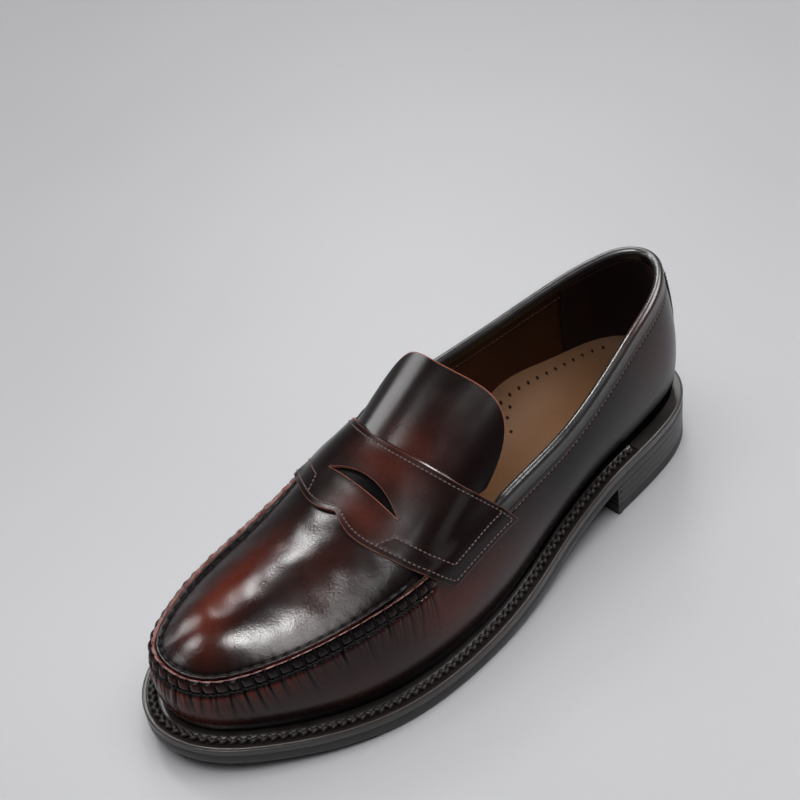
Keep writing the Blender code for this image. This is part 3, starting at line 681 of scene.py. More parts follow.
class Nodes:
    """A material's node tree, with short calls for the nodes used here."""

    def __init__(self, name):
        self.material = bpy.data.materials.new(name)
        self.material.use_nodes = True
        self.tree = self.material.node_tree
        self.shader = self.tree.nodes["Principled BSDF"]
        self.place = self.add("ShaderNodeTexCoord").outputs["Object"]

    def add(self, kind, **settings):
        node = self.tree.nodes.new(kind)
        for key, value in settings.items():
            setattr(node, key, value)
        return node

    def link(self, source, target):
        self.tree.links.new(source, target)

    def fill(self, node, values):
        for key, value in values.items():
            if hasattr(value, "is_output"):
                self.link(value, node.inputs[key])
            else:
                node.inputs[key].default_value = value

    def scaled(self, factors):
        mapping = self.add("ShaderNodeMapping")
        mapping.inputs["Scale"].default_value = factors
        self.link(self.place, mapping.inputs["Vector"])
        return mapping.outputs["Vector"]

    def noise(self, scale, detail, stretch=None, rough=0.5):
        node = self.add("ShaderNodeTexNoise")
        place = self.scaled(stretch) if stretch else self.place
        self.fill(node, {"Vector": place, "Scale": scale, "Detail": detail, "Roughness": rough})
        return node.outputs["Fac"]

    def cells(self, scale, smooth=0.6):
        node = self.add("ShaderNodeTexVoronoi", feature="SMOOTH_F1")
        self.fill(node, {"Vector": self.place, "Scale": scale, "Smoothness": smooth})
        return node.outputs["Distance"]

    def texture(self, kind, *settings):
        return getattr(self, kind)(*settings)

    def layer(self, name):
        return self.add("ShaderNodeAttribute", attribute_name=name).outputs["Fac"]

    def maths(self, operation, a, b=0.0, clamp=False):
        node = self.add("ShaderNodeMath", operation=operation, use_clamp=clamp)
        self.fill(node, {0: a, 1: b})
        return node.outputs[0]

    def remap(self, value, low, high, to_low, to_high):
        node = self.add("ShaderNodeMapRange")
        self.fill(node, {"Value": value, "From Min": low, "From Max": high,
                         "To Min": to_low, "To Max": to_high})
        return node.outputs["Result"]

    def mix(self, factor, a, b):
        node = self.add("ShaderNodeMix", data_type="RGBA")
        self.fill(node, {0: factor, 6: colour(a), 7: colour(b)})
        return node.outputs[2]

    def bump(self, height, strength, distance, after=None):
        node = self.add("ShaderNodeBump")
        self.fill(node, {"Height": height, "Strength": strength, "Distance": distance * MM})
        if after:
            self.link(after, node.inputs["Normal"])
        return node.outputs["Normal"]

    def surface(self, **values):
        """Principled sockets by name, with underscores for spaces."""
        self.fill(self.shader, {key.replace("_", " "): colour(value) for key, value in values.items()})
        return self.material


def colour(value):
    return (*value, 1.0) if isinstance(value, tuple) and len(value) == 3 else value


def polished_leather(name, dark, red, grain=1.0, gloss=0.2, worn=(0.15, 0.03, 0.022), mirror=0.38):
    """Brush-off leather: a near-black finish rubbed through to red, with a fine pebble grain, and painted
    shade where the painted_shade layer asks for it.
    """
    n = Nodes(name)
    cloud = n.remap(n.noise(30, 4), 0.3, 0.7, 0.6, 1.25)
    speckle = n.remap(n.noise(900, 3), 0.35, 0.65, 0.8, 1.15)
    glow = n.maths("MULTIPLY", n.maths("MULTIPLY", n.layer("glow"), cloud), speckle, clamp=True)
    base = n.mix(glow, dark, red)
    base = n.mix(n.layer("raw"), base, worn)
    # Painted shade: the painted_shade layer mixes the colour towards near black in creases, hollows and under
    # other pieces, and dulls the shine there too.
    base = n.mix(n.layer("painted_shade"), base, (0.003, 0.0025, 0.003))
    pebble = n.bump(n.noise(1250, 2, rough=0.6), 0.42 * grain, 0.15)
    matt = n.maths("MAXIMUM", n.layer("painted_shade"), n.maths("MULTIPLY", n.layer("raw"), 0.8), clamp=True)
    shine = n.maths("SUBTRACT", mirror, n.maths("MULTIPLY", matt, mirror), clamp=True)
    rough = n.remap(n.noise(60, 3), 0.3, 0.7, gloss - 0.02, gloss + 0.04)
    rough = n.maths("ADD", rough, n.maths("MULTIPLY", n.layer("painted_shade"), 0.12), clamp=True)
    return n.surface(Base_Color=base, Roughness=rough, Normal=pebble, Specular_IOR_Level=shine)


def two_tone(name, tones, texture, span, rough, bump, relief=None, **more):
    """Two tones mixed by a texture; the relief follows the same texture or one of its own."""
    n = Nodes(name)
    mark = n.texture(*texture)
    relief = n.texture(*relief) if relief else mark
    if isinstance(rough, tuple):
        rough = n.remap(mark, 0.3, 0.7, *rough)
    return n.surface(Base_Color=n.mix(n.remap(mark, *span, 0, 1), *tones), Roughness=rough,
                     Normal=n.bump(relief, *bump), **more)


def cut_leather(name, pale, deep, rough=0.7):
    """The fibrous cut edge of a hide."""
    return two_tone(name, (deep, pale), ("noise", 1100, 4), (0.35, 0.65), rough, (0.5, 0.2))


def sole_edge_finish(name, tone, rough=0.34):
    """Burnished, dyed leather edge with fine striations along its length."""
    n = Nodes(name)
    streak = n.noise(1.0, 5, (60, 60, 2600))
    broad = n.noise(45, 4)
    base = n.mix(n.remap(streak, 0.35, 0.7, 0, 1), tone, tuple(1.9 * c for c in tone))
    base = n.mix(n.layer("raw"), base, (0.075, 0.06, 0.052))
    relief = n.bump(broad, 0.15, 0.6, after=n.bump(streak, 0.35, 0.12))
    return n.surface(Base_Color=base, Roughness=n.remap(broad, 0.3, 0.7, rough - 0.06, rough + 0.1),
                     Normal=relief, Specular_IOR_Level=0.5)


def thread_finish(name, tone, rough=0.45, shine=0.25):
    dark = tuple(0.55 * c for c in tone)
    return two_tone(name, (dark, tone), ("noise", 2200, 2), (0.35, 0.65), rough, (0.5, 0.15),
                    Specular_IOR_Level=shine)


def sock_finish():
    """Undyed tan insole leather, pale and matt, with darker pores."""
    n = Nodes("sock_leather_tan")
    pore = n.noise(1500, 3)
    base = n.mix(n.remap(n.noise(22, 5), 0.3, 0.7, 0, 1), (0.10, 0.044, 0.0165), (0.14, 0.064, 0.026))
    base = n.mix(n.remap(pore, 0.55, 0.75, 0, 0.5), base, (0.07, 0.03, 0.012))
    return n.surface(Base_Color=base, Roughness=0.62, Specular_IOR_Level=0.2, Normal=n.bump(pore, 0.25, 0.12))


def steel_finish(name, tone):
    n = Nodes(name)
    scratch = n.noise(1.0, 4, (900, 60, 900))
    return n.surface(Base_Color=tone, Metallic=1.0, Roughness=n.remap(scratch, 0.3, 0.7, 0.25, 0.45),
                     Normal=n.bump(scratch, 0.2, 0.05))


OXBLOOD_DARK = (0.0085, 0.0038, 0.0036)
OXBLOOD_RED = (0.112, 0.0165, 0.0062)
LOOK = {
    "upper": polished_leather("oxblood_upper", OXBLOOD_DARK, OXBLOOD_RED, gloss=0.18),
    "strap": polished_leather("oxblood_strap", OXBLOOD_DARK, OXBLOOD_RED, grain=0.3, gloss=0.17,
                              worn=(0.46, 0.16, 0.11)),
    # The piping's dark tone is greyer and lighter than the upper's: partly its own grey, partly a painted
    # sheen.
    "piping": polished_leather("oxblood_piping_painted_sheen", (0.014, 0.0115, 0.0115), OXBLOOD_RED, grain=0.4,
                               gloss=0.26, mirror=0.72),
    "raw": cut_leather("raw_edge_pink", (0.50, 0.21, 0.15), (0.24, 0.075, 0.055)),
    "ridge": cut_leather("raw_edge_red", (0.24, 0.06, 0.045), (0.05, 0.010, 0.009), 0.42),
    "edge": sole_edge_finish("sole_edge_black", (0.012, 0.0105, 0.011)),
    "welt": sole_edge_finish("welt_dark_brown", (0.013, 0.0095, 0.009), 0.3),
    "bottom": sole_edge_finish("sole_bottom_black", (0.02, 0.017, 0.016), 0.5),
    "stitch": thread_finish("upper_thread_rose", (0.17, 0.105, 0.09), 0.5),
    "brown_thread": thread_finish("lining_thread_brown", (0.06, 0.026, 0.014), 0.6),
    "waxed": thread_finish("waxed_thread_black", (0.010, 0.008, 0.008), 0.5, 0.1),
    "welted": thread_finish("welt_thread_grey", (0.032, 0.026, 0.023), 0.46, 0.2),
    "lining": two_tone("lining_leather_glazed", ((0.020, 0.0055, 0.002), (0.045, 0.0125, 0.004)),
                       ("noise", 35, 5), (0.3, 0.7), 0.36, (0.2, 0.1), relief=("cells", 1300),
                       Specular_IOR_Level=0.35),
    # Dark suede of the heel grip, darkened further as painted shade for the inside of the heel; the air
    # holes' bottoms take it as painted shade too.
    "suede": two_tone("heel_suede_nap_painted_shade", ((0.005, 0.0014, 0.0013), (0.015, 0.0035, 0.0026)),
                      ("noise", 1.0, 3, (90, 90, 26)), (0.35, 0.65), 0.95, (0.9, 0.35),
                      relief=("noise", 1900, 3), Specular_IOR_Level=0.12, Sheen_Weight=0.06,
                      Sheen_Roughness=0.5, Sheen_Tint=(0.8, 0.25, 0.2)),
    "sock": sock_finish(),
    "board": two_tone("leatherboard_fibre", ((0.36, 0.26, 0.16), (0.5, 0.38, 0.26)),
                      ("noise", 700, 4), (0.35, 0.65), 0.85, (0.5, 0.3)),
    "cork": two_tone("cork_granules", ((0.5, 0.33, 0.18), (0.24, 0.13, 0.06)),
                     ("cells", 420, 0.2), (0.1, 0.6), 0.9, (0.6, 0.6)),
    "foam": two_tone("pad_foam_cells", ((0.78, 0.72, 0.56), (0.5, 0.44, 0.32)),
                     ("cells", 1400, 0.2), (0.1, 0.6), 0.95, (0.6, 0.3)),
    "steel": steel_finish("nail_steel_bright", (0.52, 0.52, 0.54)),
    "shank": steel_finish("shank_steel_blued", (0.2, 0.22, 0.26)),
    "rubber": two_tone("heel_rubber_black", ((0.012, 0.012, 0.013), (0.035, 0.034, 0.034)),
                       ("noise", 160, 5), (0.4, 0.75), (0.5, 0.7), (0.2, 0.2)),
    "floor": two_tone("studio_floor", ((0.475, 0.475, 0.495), (0.50, 0.50, 0.52)),
                      ("noise", 3, 3), (0.3, 0.7), 0.5, (0.05, 0.1), relief=("noise", 900, 2)),
}


# ---------------------------------------------------------------- sole

def matched_rows(count, low=-math.inf, inset=0.0):
    """Outline points as pairs at the same y: the outer chain forwards, the inner chain back."""
    outline = sole_edge(DENSE) - outward(sole_edge, DENSE) * inset
    ys = outline[:, 1]
    left, right = across(outline, eased_range(max(low, ys.min() + 0.004), ys.max() - 0.004, count))
    return np.vstack([right, left[::-1]])


def ring_out(loop):
    """Outward directions at the points of a closed flat loop."""
    along = np.roll(loop, -1, axis=0) - np.roll(loop, 1, axis=0)
    along /= np.linalg.norm(along, axis=1, keepdims=True) + 1e-9
    out = np.stack([along[:, 1], -along[:, 0]], -1)
    centre = loop.mean(axis=0)
    return out if np.sum(out * (loop - centre)) > 0 else -out


def sole_layer(name, loop, profile, marks, materials, slot, replaces):
    """A sole layer: rings round the outline by (inset, height at y), closed by strips across."""
    out = ring_out(loop)
    rings = []
    for inset, height in profile:
        flat = loop - out * inset
        rings.append(np.column_stack([flat, height(flat[:, 1])]))
    count = len(loop)
    faces = grid_faces(len(rings), count, close_columns=True)
    slots = [0] * len(faces)
    for ring in (0, len(rings) - 1):
        first = ring * count
        last = first + count - 1
        caps = [[first + i, first + i + 1, last - 1 - i, last - i] for i in range(count // 2 - 1)]
        faces += caps
        slots += [int(ring == 0)] * len(caps)
    item = piece(name, np.array(rings), faces, materials, slot=slot, replaces=replaces, face_slots=slots,
                 layers={"raw": np.repeat(np.array(marks, float), count)}, sharp=EDGE_SHARP)
    face_out(item)


def above_floor(height):
    return lambda y: sole_floor(y) + height


def at_height(height):
    return lambda y: np.full_like(y, height)


def outsole():
    steps = ((2.2, 0, 0), (0.9, 0.02, 0), (0.35, 0.15, 0.15), (0.08, 0.5, 0.1), (0.0, 1.2, 0),
             (0.0, OUTSOLE, 0), (0.06, OUTSOLE + 0.07, 0), (0.8, OUTSOLE + GAP, 0))
    profile = [(inset, above_floor(height)) for inset, height, _ in steps]
    sole_layer("outsole_leather", matched_rows(300), profile, [wear for _, _, wear in steps],
               [LOOK["edge"], LOOK["bottom"]], "sole_leather", ["outsole"])


def rand_top(inset):
    """Height of the rand's upper face over its own base, bevelled at the sole edge."""
    return WELT - WELT_BEVEL * smooth_step(WELT_BEVEL - inset, 0, WELT_BEVEL) ** 1.5


def welt_top(inset):
    """The same for the welt, with a crease and the stitch channel."""
    channel = 0.8 * np.exp(-((inset - CHANNEL_INSET) / 2.0) ** 4)
    return rand_top(inset) - channel - 0.14 * hump(inset, 2.2, 0.35)


def sole_band(name, start, stop, top, replaces):
    """The welt or the rand: a strip swept round the sole edge under the foot of the upper."""
    ts = even(start, stop, 1.1, sole_edge)
    edge = sole_edge(ts)
    out = outward(sole_edge, ts)
    under = [(WELT_INSETS[-1], 0.1), (0.7, 0.0), (0.06, 0.03), (0.0, 0.12)]
    rows = []
    for inset, lift in [(i, top(i)) for i in WELT_INSETS] + under:
        flat = edge - out * inset
        rows.append(np.column_stack([flat, sole_floor(flat[:, 1]) + (OUTSOLE + GAP) + lift]))
    points = np.array(rows)
    raw = np.zeros(points.shape[:2])
    raw[:len(WELT_INSETS)] = 0.9 * hump(np.array(WELT_INSETS), 0.55, 0.3)[:, None]
    face_out(piece(name, points, bar_faces(*points.shape[:2]), [LOOK["welt"]], slot="welt_leather",
                   replaces=replaces, layers={"raw": raw}, sharp=EDGE_SHARP))


def welt_and_rand():
    start = sole_t(RAND_Y, True)
    stop = sole_t(RAND_Y, False)
    sole_band("welt_strip", start, stop, welt_top, ["welt"])
    sole_band("rand_strip", stop, 1 + start, rand_top, ["heel_rand"])


def welt_stitches():
    """Chunky lockstitch of two twisted plies, lying in the welt's channel."""
    ts = even(sole_t(RAND_Y - 1, True), sole_t(RAND_Y - 1, False), 0.8, sole_edge)
    out = outward(sole_edge, ts)
    flat = sole_edge(ts) - out * CHANNEL_INSET
    line = np.column_stack([flat, sole_floor(flat[:, 1]) + EDGE - 0.25])
    normals = np.cross(np.gradient(line, axis=0), level(out))
    normals *= np.sign(normals[:, 2:])
    rows = []
    for start, turn in ((0.5, 0.6), (0.95, -0.6)):
        place, along, normal = walk(line, normals, WELT_STITCH_PITCH, start)
        side = np.cross(normal, along)
        tilted = along * math.cos(turn) + side * math.sin(turn)
        rows.append((place + side * (0.5 * np.sign(turn)), tilted, normal))
    sewn("welt_stitches", rows, length=3.5, radius=1.0, lift=0.6, look="welted",
         replaces=["welt_stitch"])


def heel_stack():
    """Three leather lifts on a rubber top piece, each a thin line apart."""
    low = 0.0
    loop = matched_rows(200, low=BREAST_Y + 0.3, inset=0.2)
    for k in range(LIFTS + 1):
        following = low + LIFT + JOIN if k else TOP_PIECE + 0.15
        high = following - 0.05
        top = above_floor(-0.05) if k == LIFTS else at_height(high)
        below = above_floor(-0.15) if k == LIFTS else at_height(high - 0.1)
        foot = 0.03 if k else 0.45
        profile = ((2.5, at_height(low)), (foot, at_height(low)), (0.1, at_height(low + foot * 0.5)),
                   (0.0, at_height(low + foot)), (0.0, below), (0.03, top), (2.5, top))
        marks = (0, 0, 0, 0, 0, 0, 0) if k else (0, 0.55, 0.25, 0, 0, 0.1, 0)
        name = f"heel_lift_{k}" if k else "heel_top_piece"
        look, slot = ("edge", "sole_leather") if k else ("rubber", "heel_rubber")
        sole_layer(name + "_fine", loop, profile, marks, [LOOK[look], LOOK[look]], slot, [name])
        low = following


def footbed_edge():
    """Where the moulded footbed meets the lining: points round the inside of the wall."""
    tt, vv = spread(DENSE, np.linspace(0.0, 0.7, 60))
    depth = LEATHER + LINING + 4 * JOIN
    face = wall_layer(tt, np.clip(vv, 0.004, 1), np.full(tt.shape, -depth))
    inner_side = DENSE > DENSE[np.argmin(sole_edge(DENSE)[:, 1])]
    y = face[:, 10, 1]
    target = footbed_height(y) + cup_height(y, inner_side)
    return np.array([[np.interp(z, row[:, 2], column) for column in row.T] for z, row in zip(target, face)])


def footbed_height(y):
    """Top of the sock lining along its middle."""
    return sole_floor(y) + FOOTBED + HEEL_PAD * smooth_step(y, 10, 75)


def cup_height(y, inner_side):
    """How far the footbed's edge stands above its middle: cupped heel, arch on the inner side."""
    heel = HEEL_CUP * smooth_step(y, 20, 95)
    return FORE_CUP + heel + np.where(inner_side, ARCH_RISE * hump(y, ARCH_Y, 38), 0)


def footbed():
    """Sock lining moulded over the footbed, with punched air holes."""
    edge = footbed_edge()
    ys = eased_range(edge[:, 1].min() + 0.02, edge[:, 1].max() - 0.02, 170)
    left, right = across(edge, ys)
    a = side_shares(61)
    points = 0.5 * (left + right)[:, None] + 0.5 * (right - left)[:, None] * a[:, None]
    middle = footbed_height(ys)[:, None]
    points[..., 2] = middle + (points[..., 2] - middle) * np.abs(a) ** CUP_POWER
    item = piece("sock_lining_leather", points, sheet_faces(points), [LOOK["sock"]], slot="sock_leather",
                 replaces=["sock_lining"])
    thicken(item, SOCK, False, rim_slot=0, bevel=0)
    holes = item.modifiers.new("air_holes", "BOOLEAN")
    holes.operation = "DIFFERENCE"
    holes.material_mode = "TRANSFER"
    holes.object = air_hole_punch(edge)
    apply_modifiers(item)
    shade(item.data, 40)


def footbed_surface(edge, x, y):
    """Height of the footbed's top at the points x, y."""
    left, right = across(edge, y)
    a = (2 * x - left[:, 0] - right[:, 0]) / (right[:, 0] - left[:, 0])
    chord = 0.5 * (left[:, 2] + right[:, 2]) + 0.5 * (right[:, 2] - left[:, 2]) * a
    return footbed_height(y) + (chord - footbed_height(y)) * np.abs(a) ** CUP_POWER


def air_hole_punch(edge):
    """Round punches in a row along each edge and in a short zigzag behind the ball."""
    places = []
    for step, y in AIR_HOLE_ROW + AIR_HOLES_FORWARD:
        left, right = across(edge, np.array([y]))
        places += [(left[0, 0] + step, y), (right[0, 0] - step, y)]
    angle = np.linspace(0, 2 * math.pi, HOLE_SIDES, endpoint=False)
    shapes = []
    for x, y in places:
        ring = np.column_stack([x + HOLE_RADIUS * np.cos(angle), y + HOLE_RADIUS * np.sin(angle)])
        low = np.column_stack([ring, footbed_surface(edge, ring[:, 0], ring[:, 1]) - HOLE_DEPTH])
        high = np.column_stack([ring, np.full(HOLE_SIDES, low[:, 2].max() + 4)])
        shapes.append((np.vstack([low, high]), tube_faces(2, HOLE_SIDES)))
    # The punch's dark suede goes onto the holes' walls and bottoms as painted shade.
    return face_out(place_mesh("air_hole_punch", *join_shapes(shapes), [LOOK["suede"]]))


def apply_modifiers(item):
    """Bake the modifiers into the mesh, and drop the Boolean's tool."""
    tools = [m.object for m in item.modifiers if m.type == "BOOLEAN"]
    bpy.context.view_layer.update()
    result = item.evaluated_get(bpy.context.evaluated_depsgraph_get())
    mesh = bpy.data.meshes.new_from_object(result)
    item.modifiers.clear()
    item.data = mesh
    for tool in tools:
        bpy.data.objects.remove(tool, do_unlink=True)


# ---------------------------------------------------------------- moccasin seam and wall

SEAM_START = rim_t(SEAM_REAR_Y, True)
SEAM_STOP = rim_t(SEAM_REAR_Y, False)


def seam_stations():
    """Stations of the strands, and of the wall's columns between them."""
    fine = np.linspace(SEAM_START, SEAM_STOP, 4000)
    run = run_along(wall_top(fine))
    count = int(round(run[-1] / SEAM_PITCH))
    return [np.interp(np.linspace(0, run[-1], count * steps + 1), run, fine) for steps in (1, SEAM_STEPS)]


STRANDS, SEAM_COLUMNS = seam_stations()


def seam_phase(t):
    """Number of strands passed at t, whole at each strand; the seam's ends hold on outside it."""
    return np.interp(t, STRANDS, np.arange(len(STRANDS)))


def strand_gap(phase):
    """Distance along the seam from the nearest strand."""
    return np.abs(phase - np.round(phase)) * SEAM_PITCH


def seam_fade(t):
    """1 along the seam, 0 on the quarters."""
    count = len(STRANDS) - 1
    phase = seam_phase(t)
    return smooth_step(phase, 0.05, 0.8) * (1 - smooth_step(phase, count - 0.8, count - 0.05))


def pucker_list():
    """Creases below the seam: strand position, reach down the wall, depth, slant, width."""
    rng = np.random.default_rng(11)
    creases = []
    for i in range(1, len(STRANDS) - 1):
        y = rim(STRANDS[i])[1]
        strength = rng.uniform(0.45, 1.1)
        toe = float(smooth_step(-y, 96, 122))
        ball = float(smooth_step(y, -75, -45)) if STRANDS[i] < 0.5 else 0.3
        reach = 7.5 + 5.5 * toe + 4.5 * ball
        creases.append((i + rng.uniform(-0.1, 0.1), reach * rng.uniform(0.5, 1.25),
                        strength * (0.8 + 0.2 * toe + 0.2 * ball), rng.uniform(-0.02, 0.03), 0.5))
        for _ in range(4):
            creases.append((i + rng.uniform(0.1, 0.9), reach * rng.uniform(0.25, 0.9),
                            rng.uniform(0.12, 0.4), rng.uniform(-0.025, 0.03), rng.uniform(0.32, 0.44)))
    return creases


def crease_depth(phase, below):
    """Depth of the creases, with a low ridge beside each; below is the distance under the blocks."""
    total = np.zeros_like(below)
    for place, reach, cut, slant, width in PUCKERS:
        near = np.abs(phase - place) < 1.0
        if not near.any():
            continue
        under = np.clip(below[near], 0, None)
        offset = (phase[near] - place - slant * below[near]) * SEAM_PITCH
        fall = np.exp(-(under / reach) ** 1.6) * smooth_step(below[near], -0.3, 0.8)
        shape = hump(offset, 0, width + 0.05 * under) - 0.35 * hump(offset, 1.0, 0.45)
        total[near] += cut * fall * shape
    return total


def seam_relief(phase, depth, fade):
    """Outward displacement of the wall round the seam, how worn it is there, and its painted shade."""
    phase = phase + 0.025 * (depth - 2) * (depth < BLOCK_HEIGHT + 1)
    from_strand = strand_gap(phase)
    size = BLOCK_SIZES[np.floor(phase).astype(int) % len(BLOCK_SIZES)]
    down = np.clip(depth / BLOCK_HEIGHT, 0, 1)
    in_block = size * (1 - np.abs(2 * down - 0.95) ** 2.5).clip(0, 1)
    pillow = 1 - (1 - np.clip((from_strand - 0.3) / 2.35, 0, 1)) ** 2
    trench = 1 - smooth_step(from_strand, 0.15, 0.75)
    above = 1 - smooth_step(depth, BLOCK_HEIGHT - 0.4, BLOCK_HEIGHT + 0.8)
    cord_bed = hump(depth, BLOCK_HEIGHT + 0.55, 0.55)
    puff = smooth_step(depth, BLOCK_HEIGHT + 0.7, BLOCK_HEIGHT + 3.2)
    puff = puff * np.exp(-np.clip(depth - 7, 0, None) / 6)
    creases = crease_depth(phase, depth - BLOCK_HEIGHT - 0.2)
    lift = BLOCK_RISE * in_block * pillow - 0.35 * trench * above - 0.55 * cord_bed + 0.65 * puff
    lift = (lift - creases) * fade
    worn = np.clip(0.75 - 1.6 * creases, 0, 1) * puff * fade
    # Painted shade at the top of the blocks, tucked under the seam's ridge.
    tucked = 0.9 * (1 - smooth_step(depth, 0.4, 1.9))
    # Painted shade in the creases, along the bed of the twisted thread and in the trenches beside the
    # strands.
    painted_shade = np.clip(creases, 0, 0.8) + 0.85 * cord_bed + 0.9 * trench * above + tucked
    return lift, worn, np.clip(painted_shade, 0, 1) * fade


PUCKERS = pucker_list()
BLOCK_SIZES = 1 + 0.22 * np.sin(7.3 * np.arange(97) ** 1.3)


def wall_columns():
    """Columns dense along the seam and wider apart along the quarters."""
    return np.concatenate([SEAM_COLUMNS, even(SEAM_STOP, 1 + SEAM_START, 1.6, rim)[1:-1]])


def upper_wall():
    """The wall from the welt to the rim, over its cut top and down its inner face: one closed ring."""
    ts = wall_columns()
    top_v = v_below(ts, np.concatenate([np.linspace(0, 2, 7), np.linspace(2.35, 13, 33)]))
    vs = np.concatenate([top_v, top_v[:, -1:] * np.linspace(1, 0, 26)[1:]], axis=1)
    tt, vs = spread(ts, vs)
    plain = wall(tt, vs)
    depth = down_wall(plain)
    phase, _ = spread(seam_phase(ts), vs)
    fade, _ = spread(seam_fade(ts), vs)
    lift, worn, painted_shade = seam_relief(phase, depth, fade)
    lift = lift - collar_groove(depth) * is_collar(tt)
    outer = plain + inner_normal(tt, vs) * lift[..., None]
    inner = wall_layer(*spread(ts, np.array([0.0, 0.15, 0.35, 0.55, 0.75, 0.9, 0.985])), -LEATHER)
    crest = ridge_rows(ts, outer[:, 0], inner[:, -1])
    points = np.concatenate([outer[:, ::-1], crest, inner[:, ::-1]], axis=1)
    rows, top = points.shape[1], vs.shape[1]
    row = np.arange(rows)
    on_edge = (row >= top - 1) & (row < top + crest.shape[1])
    # Painted shade on the wall: round the seam, at its foot, on the quarters and on the blocks along the
    # sides.
    dark = painted_shade + foot_shadow(vs) + quarter_dulling_and_shade(outer) + block_side_shade(depth, ts)
    layers = {"glow": spots(outer, WALL_GLOW) * (1 - 0.5 * painted_shade), "raw": worn * toe_wear(ts)[:, None],
              "painted_shade": np.clip(dark, 0, 1)}
    hidden = np.zeros((len(ts), rows - top))
    layers = {key: np.concatenate([values[:, ::-1], hidden], axis=1) for key, values in layers.items()}
    faces = grid_faces(len(ts), rows, close_rows=True, close_columns=True)
    face_out(piece("vamp_wall_leather", points, faces, [LOOK["upper"], LOOK["ridge"]], slot="upper_leather",
                   replaces=["vamp_wall"], face_slots=np.tile(on_edge, len(ts)), layers=layers,
                   sharp=UPPER_SHARP))


def collar_groove(depth):
    """Shallow groove under the piping and another where the lining is sewn."""
    return 0.3 * hump(depth, TOPLINE_ROW, 0.55) - 0.25 * hump(depth, 2.2, 1.6)


def foot_shadow(vs):
    """Painted shade where the wall meets the welt."""
    return 0.95 * (1 - smooth_step(vs, 0.02, 0.3))


def quarter_dulling_and_shade(points):
    """The quarters are less polished than the vamp, and their colour is darkened as painted shade."""
    return 0.42 * smooth_step(points[..., 1], -15, 50)


def block_side_shade(depth, ts):
    """Painted shade: the seam's blocks are darkened along the sides more than at the toe."""
    side = 1 - smooth_step(-rim(ts)[:, 1], 92, 124)
    on_block = 1 - smooth_step(depth, BLOCK_HEIGHT - 0.6, BLOCK_HEIGHT + 0.4)
    return 0.36 * on_block * (side * seam_fade(ts))[:, None]


def toe_wear(ts):
    """The rubbed creases show most at the toe."""
    return 0.22 + 0.78 * smooth_step(-rim(ts)[:, 1], 84, 118)


def ridge_rows(ts, outside, inside):
    """Three slightly uneven rows over the wall's cut top."""
    rows = []
    phase = seam_phase(ts)
    dip = 0.25 * hump(strand_gap(phase), 0, 0.7)
    for k, share in enumerate((0.25, 0.55, 0.85)):
        row = outside + (inside - outside) * share
        wave = 0.16 * np.sin(2.2 * phase + k) + 0.12 * np.sin(5.1 * phase + 2 * k)
        row[:, 2] += (0.35 + wave - dip) * seam_fade(ts) + 0.1
        rows.append(row)
    return np.stack(rows, axis=1)


def seam_surface(t, depth, proud):
    """Points over the wall near the seam, at a distance outside its relief."""
    v = np.array([v_below(np.array([a]), np.array([d]))[0, 0] for a, d in zip(t, depth)])
    lift, _, _ = seam_relief(seam_phase(t), depth, seam_fade(t))
    return wall(t, v) + inner_normal(t, v) * (lift + proud)[:, None]


def seam_threads():
    """Black waxed thread: a strand between each pair of blocks and a twisted run below them."""
    inside = STRANDS[1:-1]
    depth = np.linspace(0.15, BLOCK_HEIGHT + 0.4, 7)
    strand_radius = (0.3, 0.5, 0.56, 0.56, 0.56, 0.6, 0.5)
    shapes = [tube(seam_surface(np.full(7, t), depth, 0.34), strand_radius) for t in inside]
    slope = BLOCK_HEIGHT + 0.6 + 0.34 * np.linspace(1, -1, 8)
    bulge = 0.42 + 0.3 * np.sin(np.linspace(0, math.pi, 8))
    radius = 0.62 * np.sqrt(np.clip(1 - np.linspace(-0.97, 0.97, 8) ** 4, 0.1, 1))
    for t, following in zip(inside[1:-2], inside[2:-1]):
        for shift in (0.0, 0.5):
            start = t + (following - t) * (shift - 0.12)
            stop = t + (following - t) * (shift + 0.62)
            shapes.append(tube(seam_surface(np.linspace(start, stop, 8), slope, bulge), radius))
    thread_piece("moccasin_thread", shapes, replaces=["seam_thread"])


# ---------------------------------------------------------------- plug

def plug_stations():
    """Outline stations in matched pairs along the sides, and a fan of them round the toe."""
    turn_y = PLUG_TOE_Y + 34
    side_y = np.arange(PLUG_REAR_Y, turn_y, -0.8)
    toe = even(rim_t(turn_y, True), rim_t(turn_y, False), 0.45, rim)
    return np.concatenate([rim_t(side_y, True), toe, rim_t(side_y, False)[::-1]]), turn_y


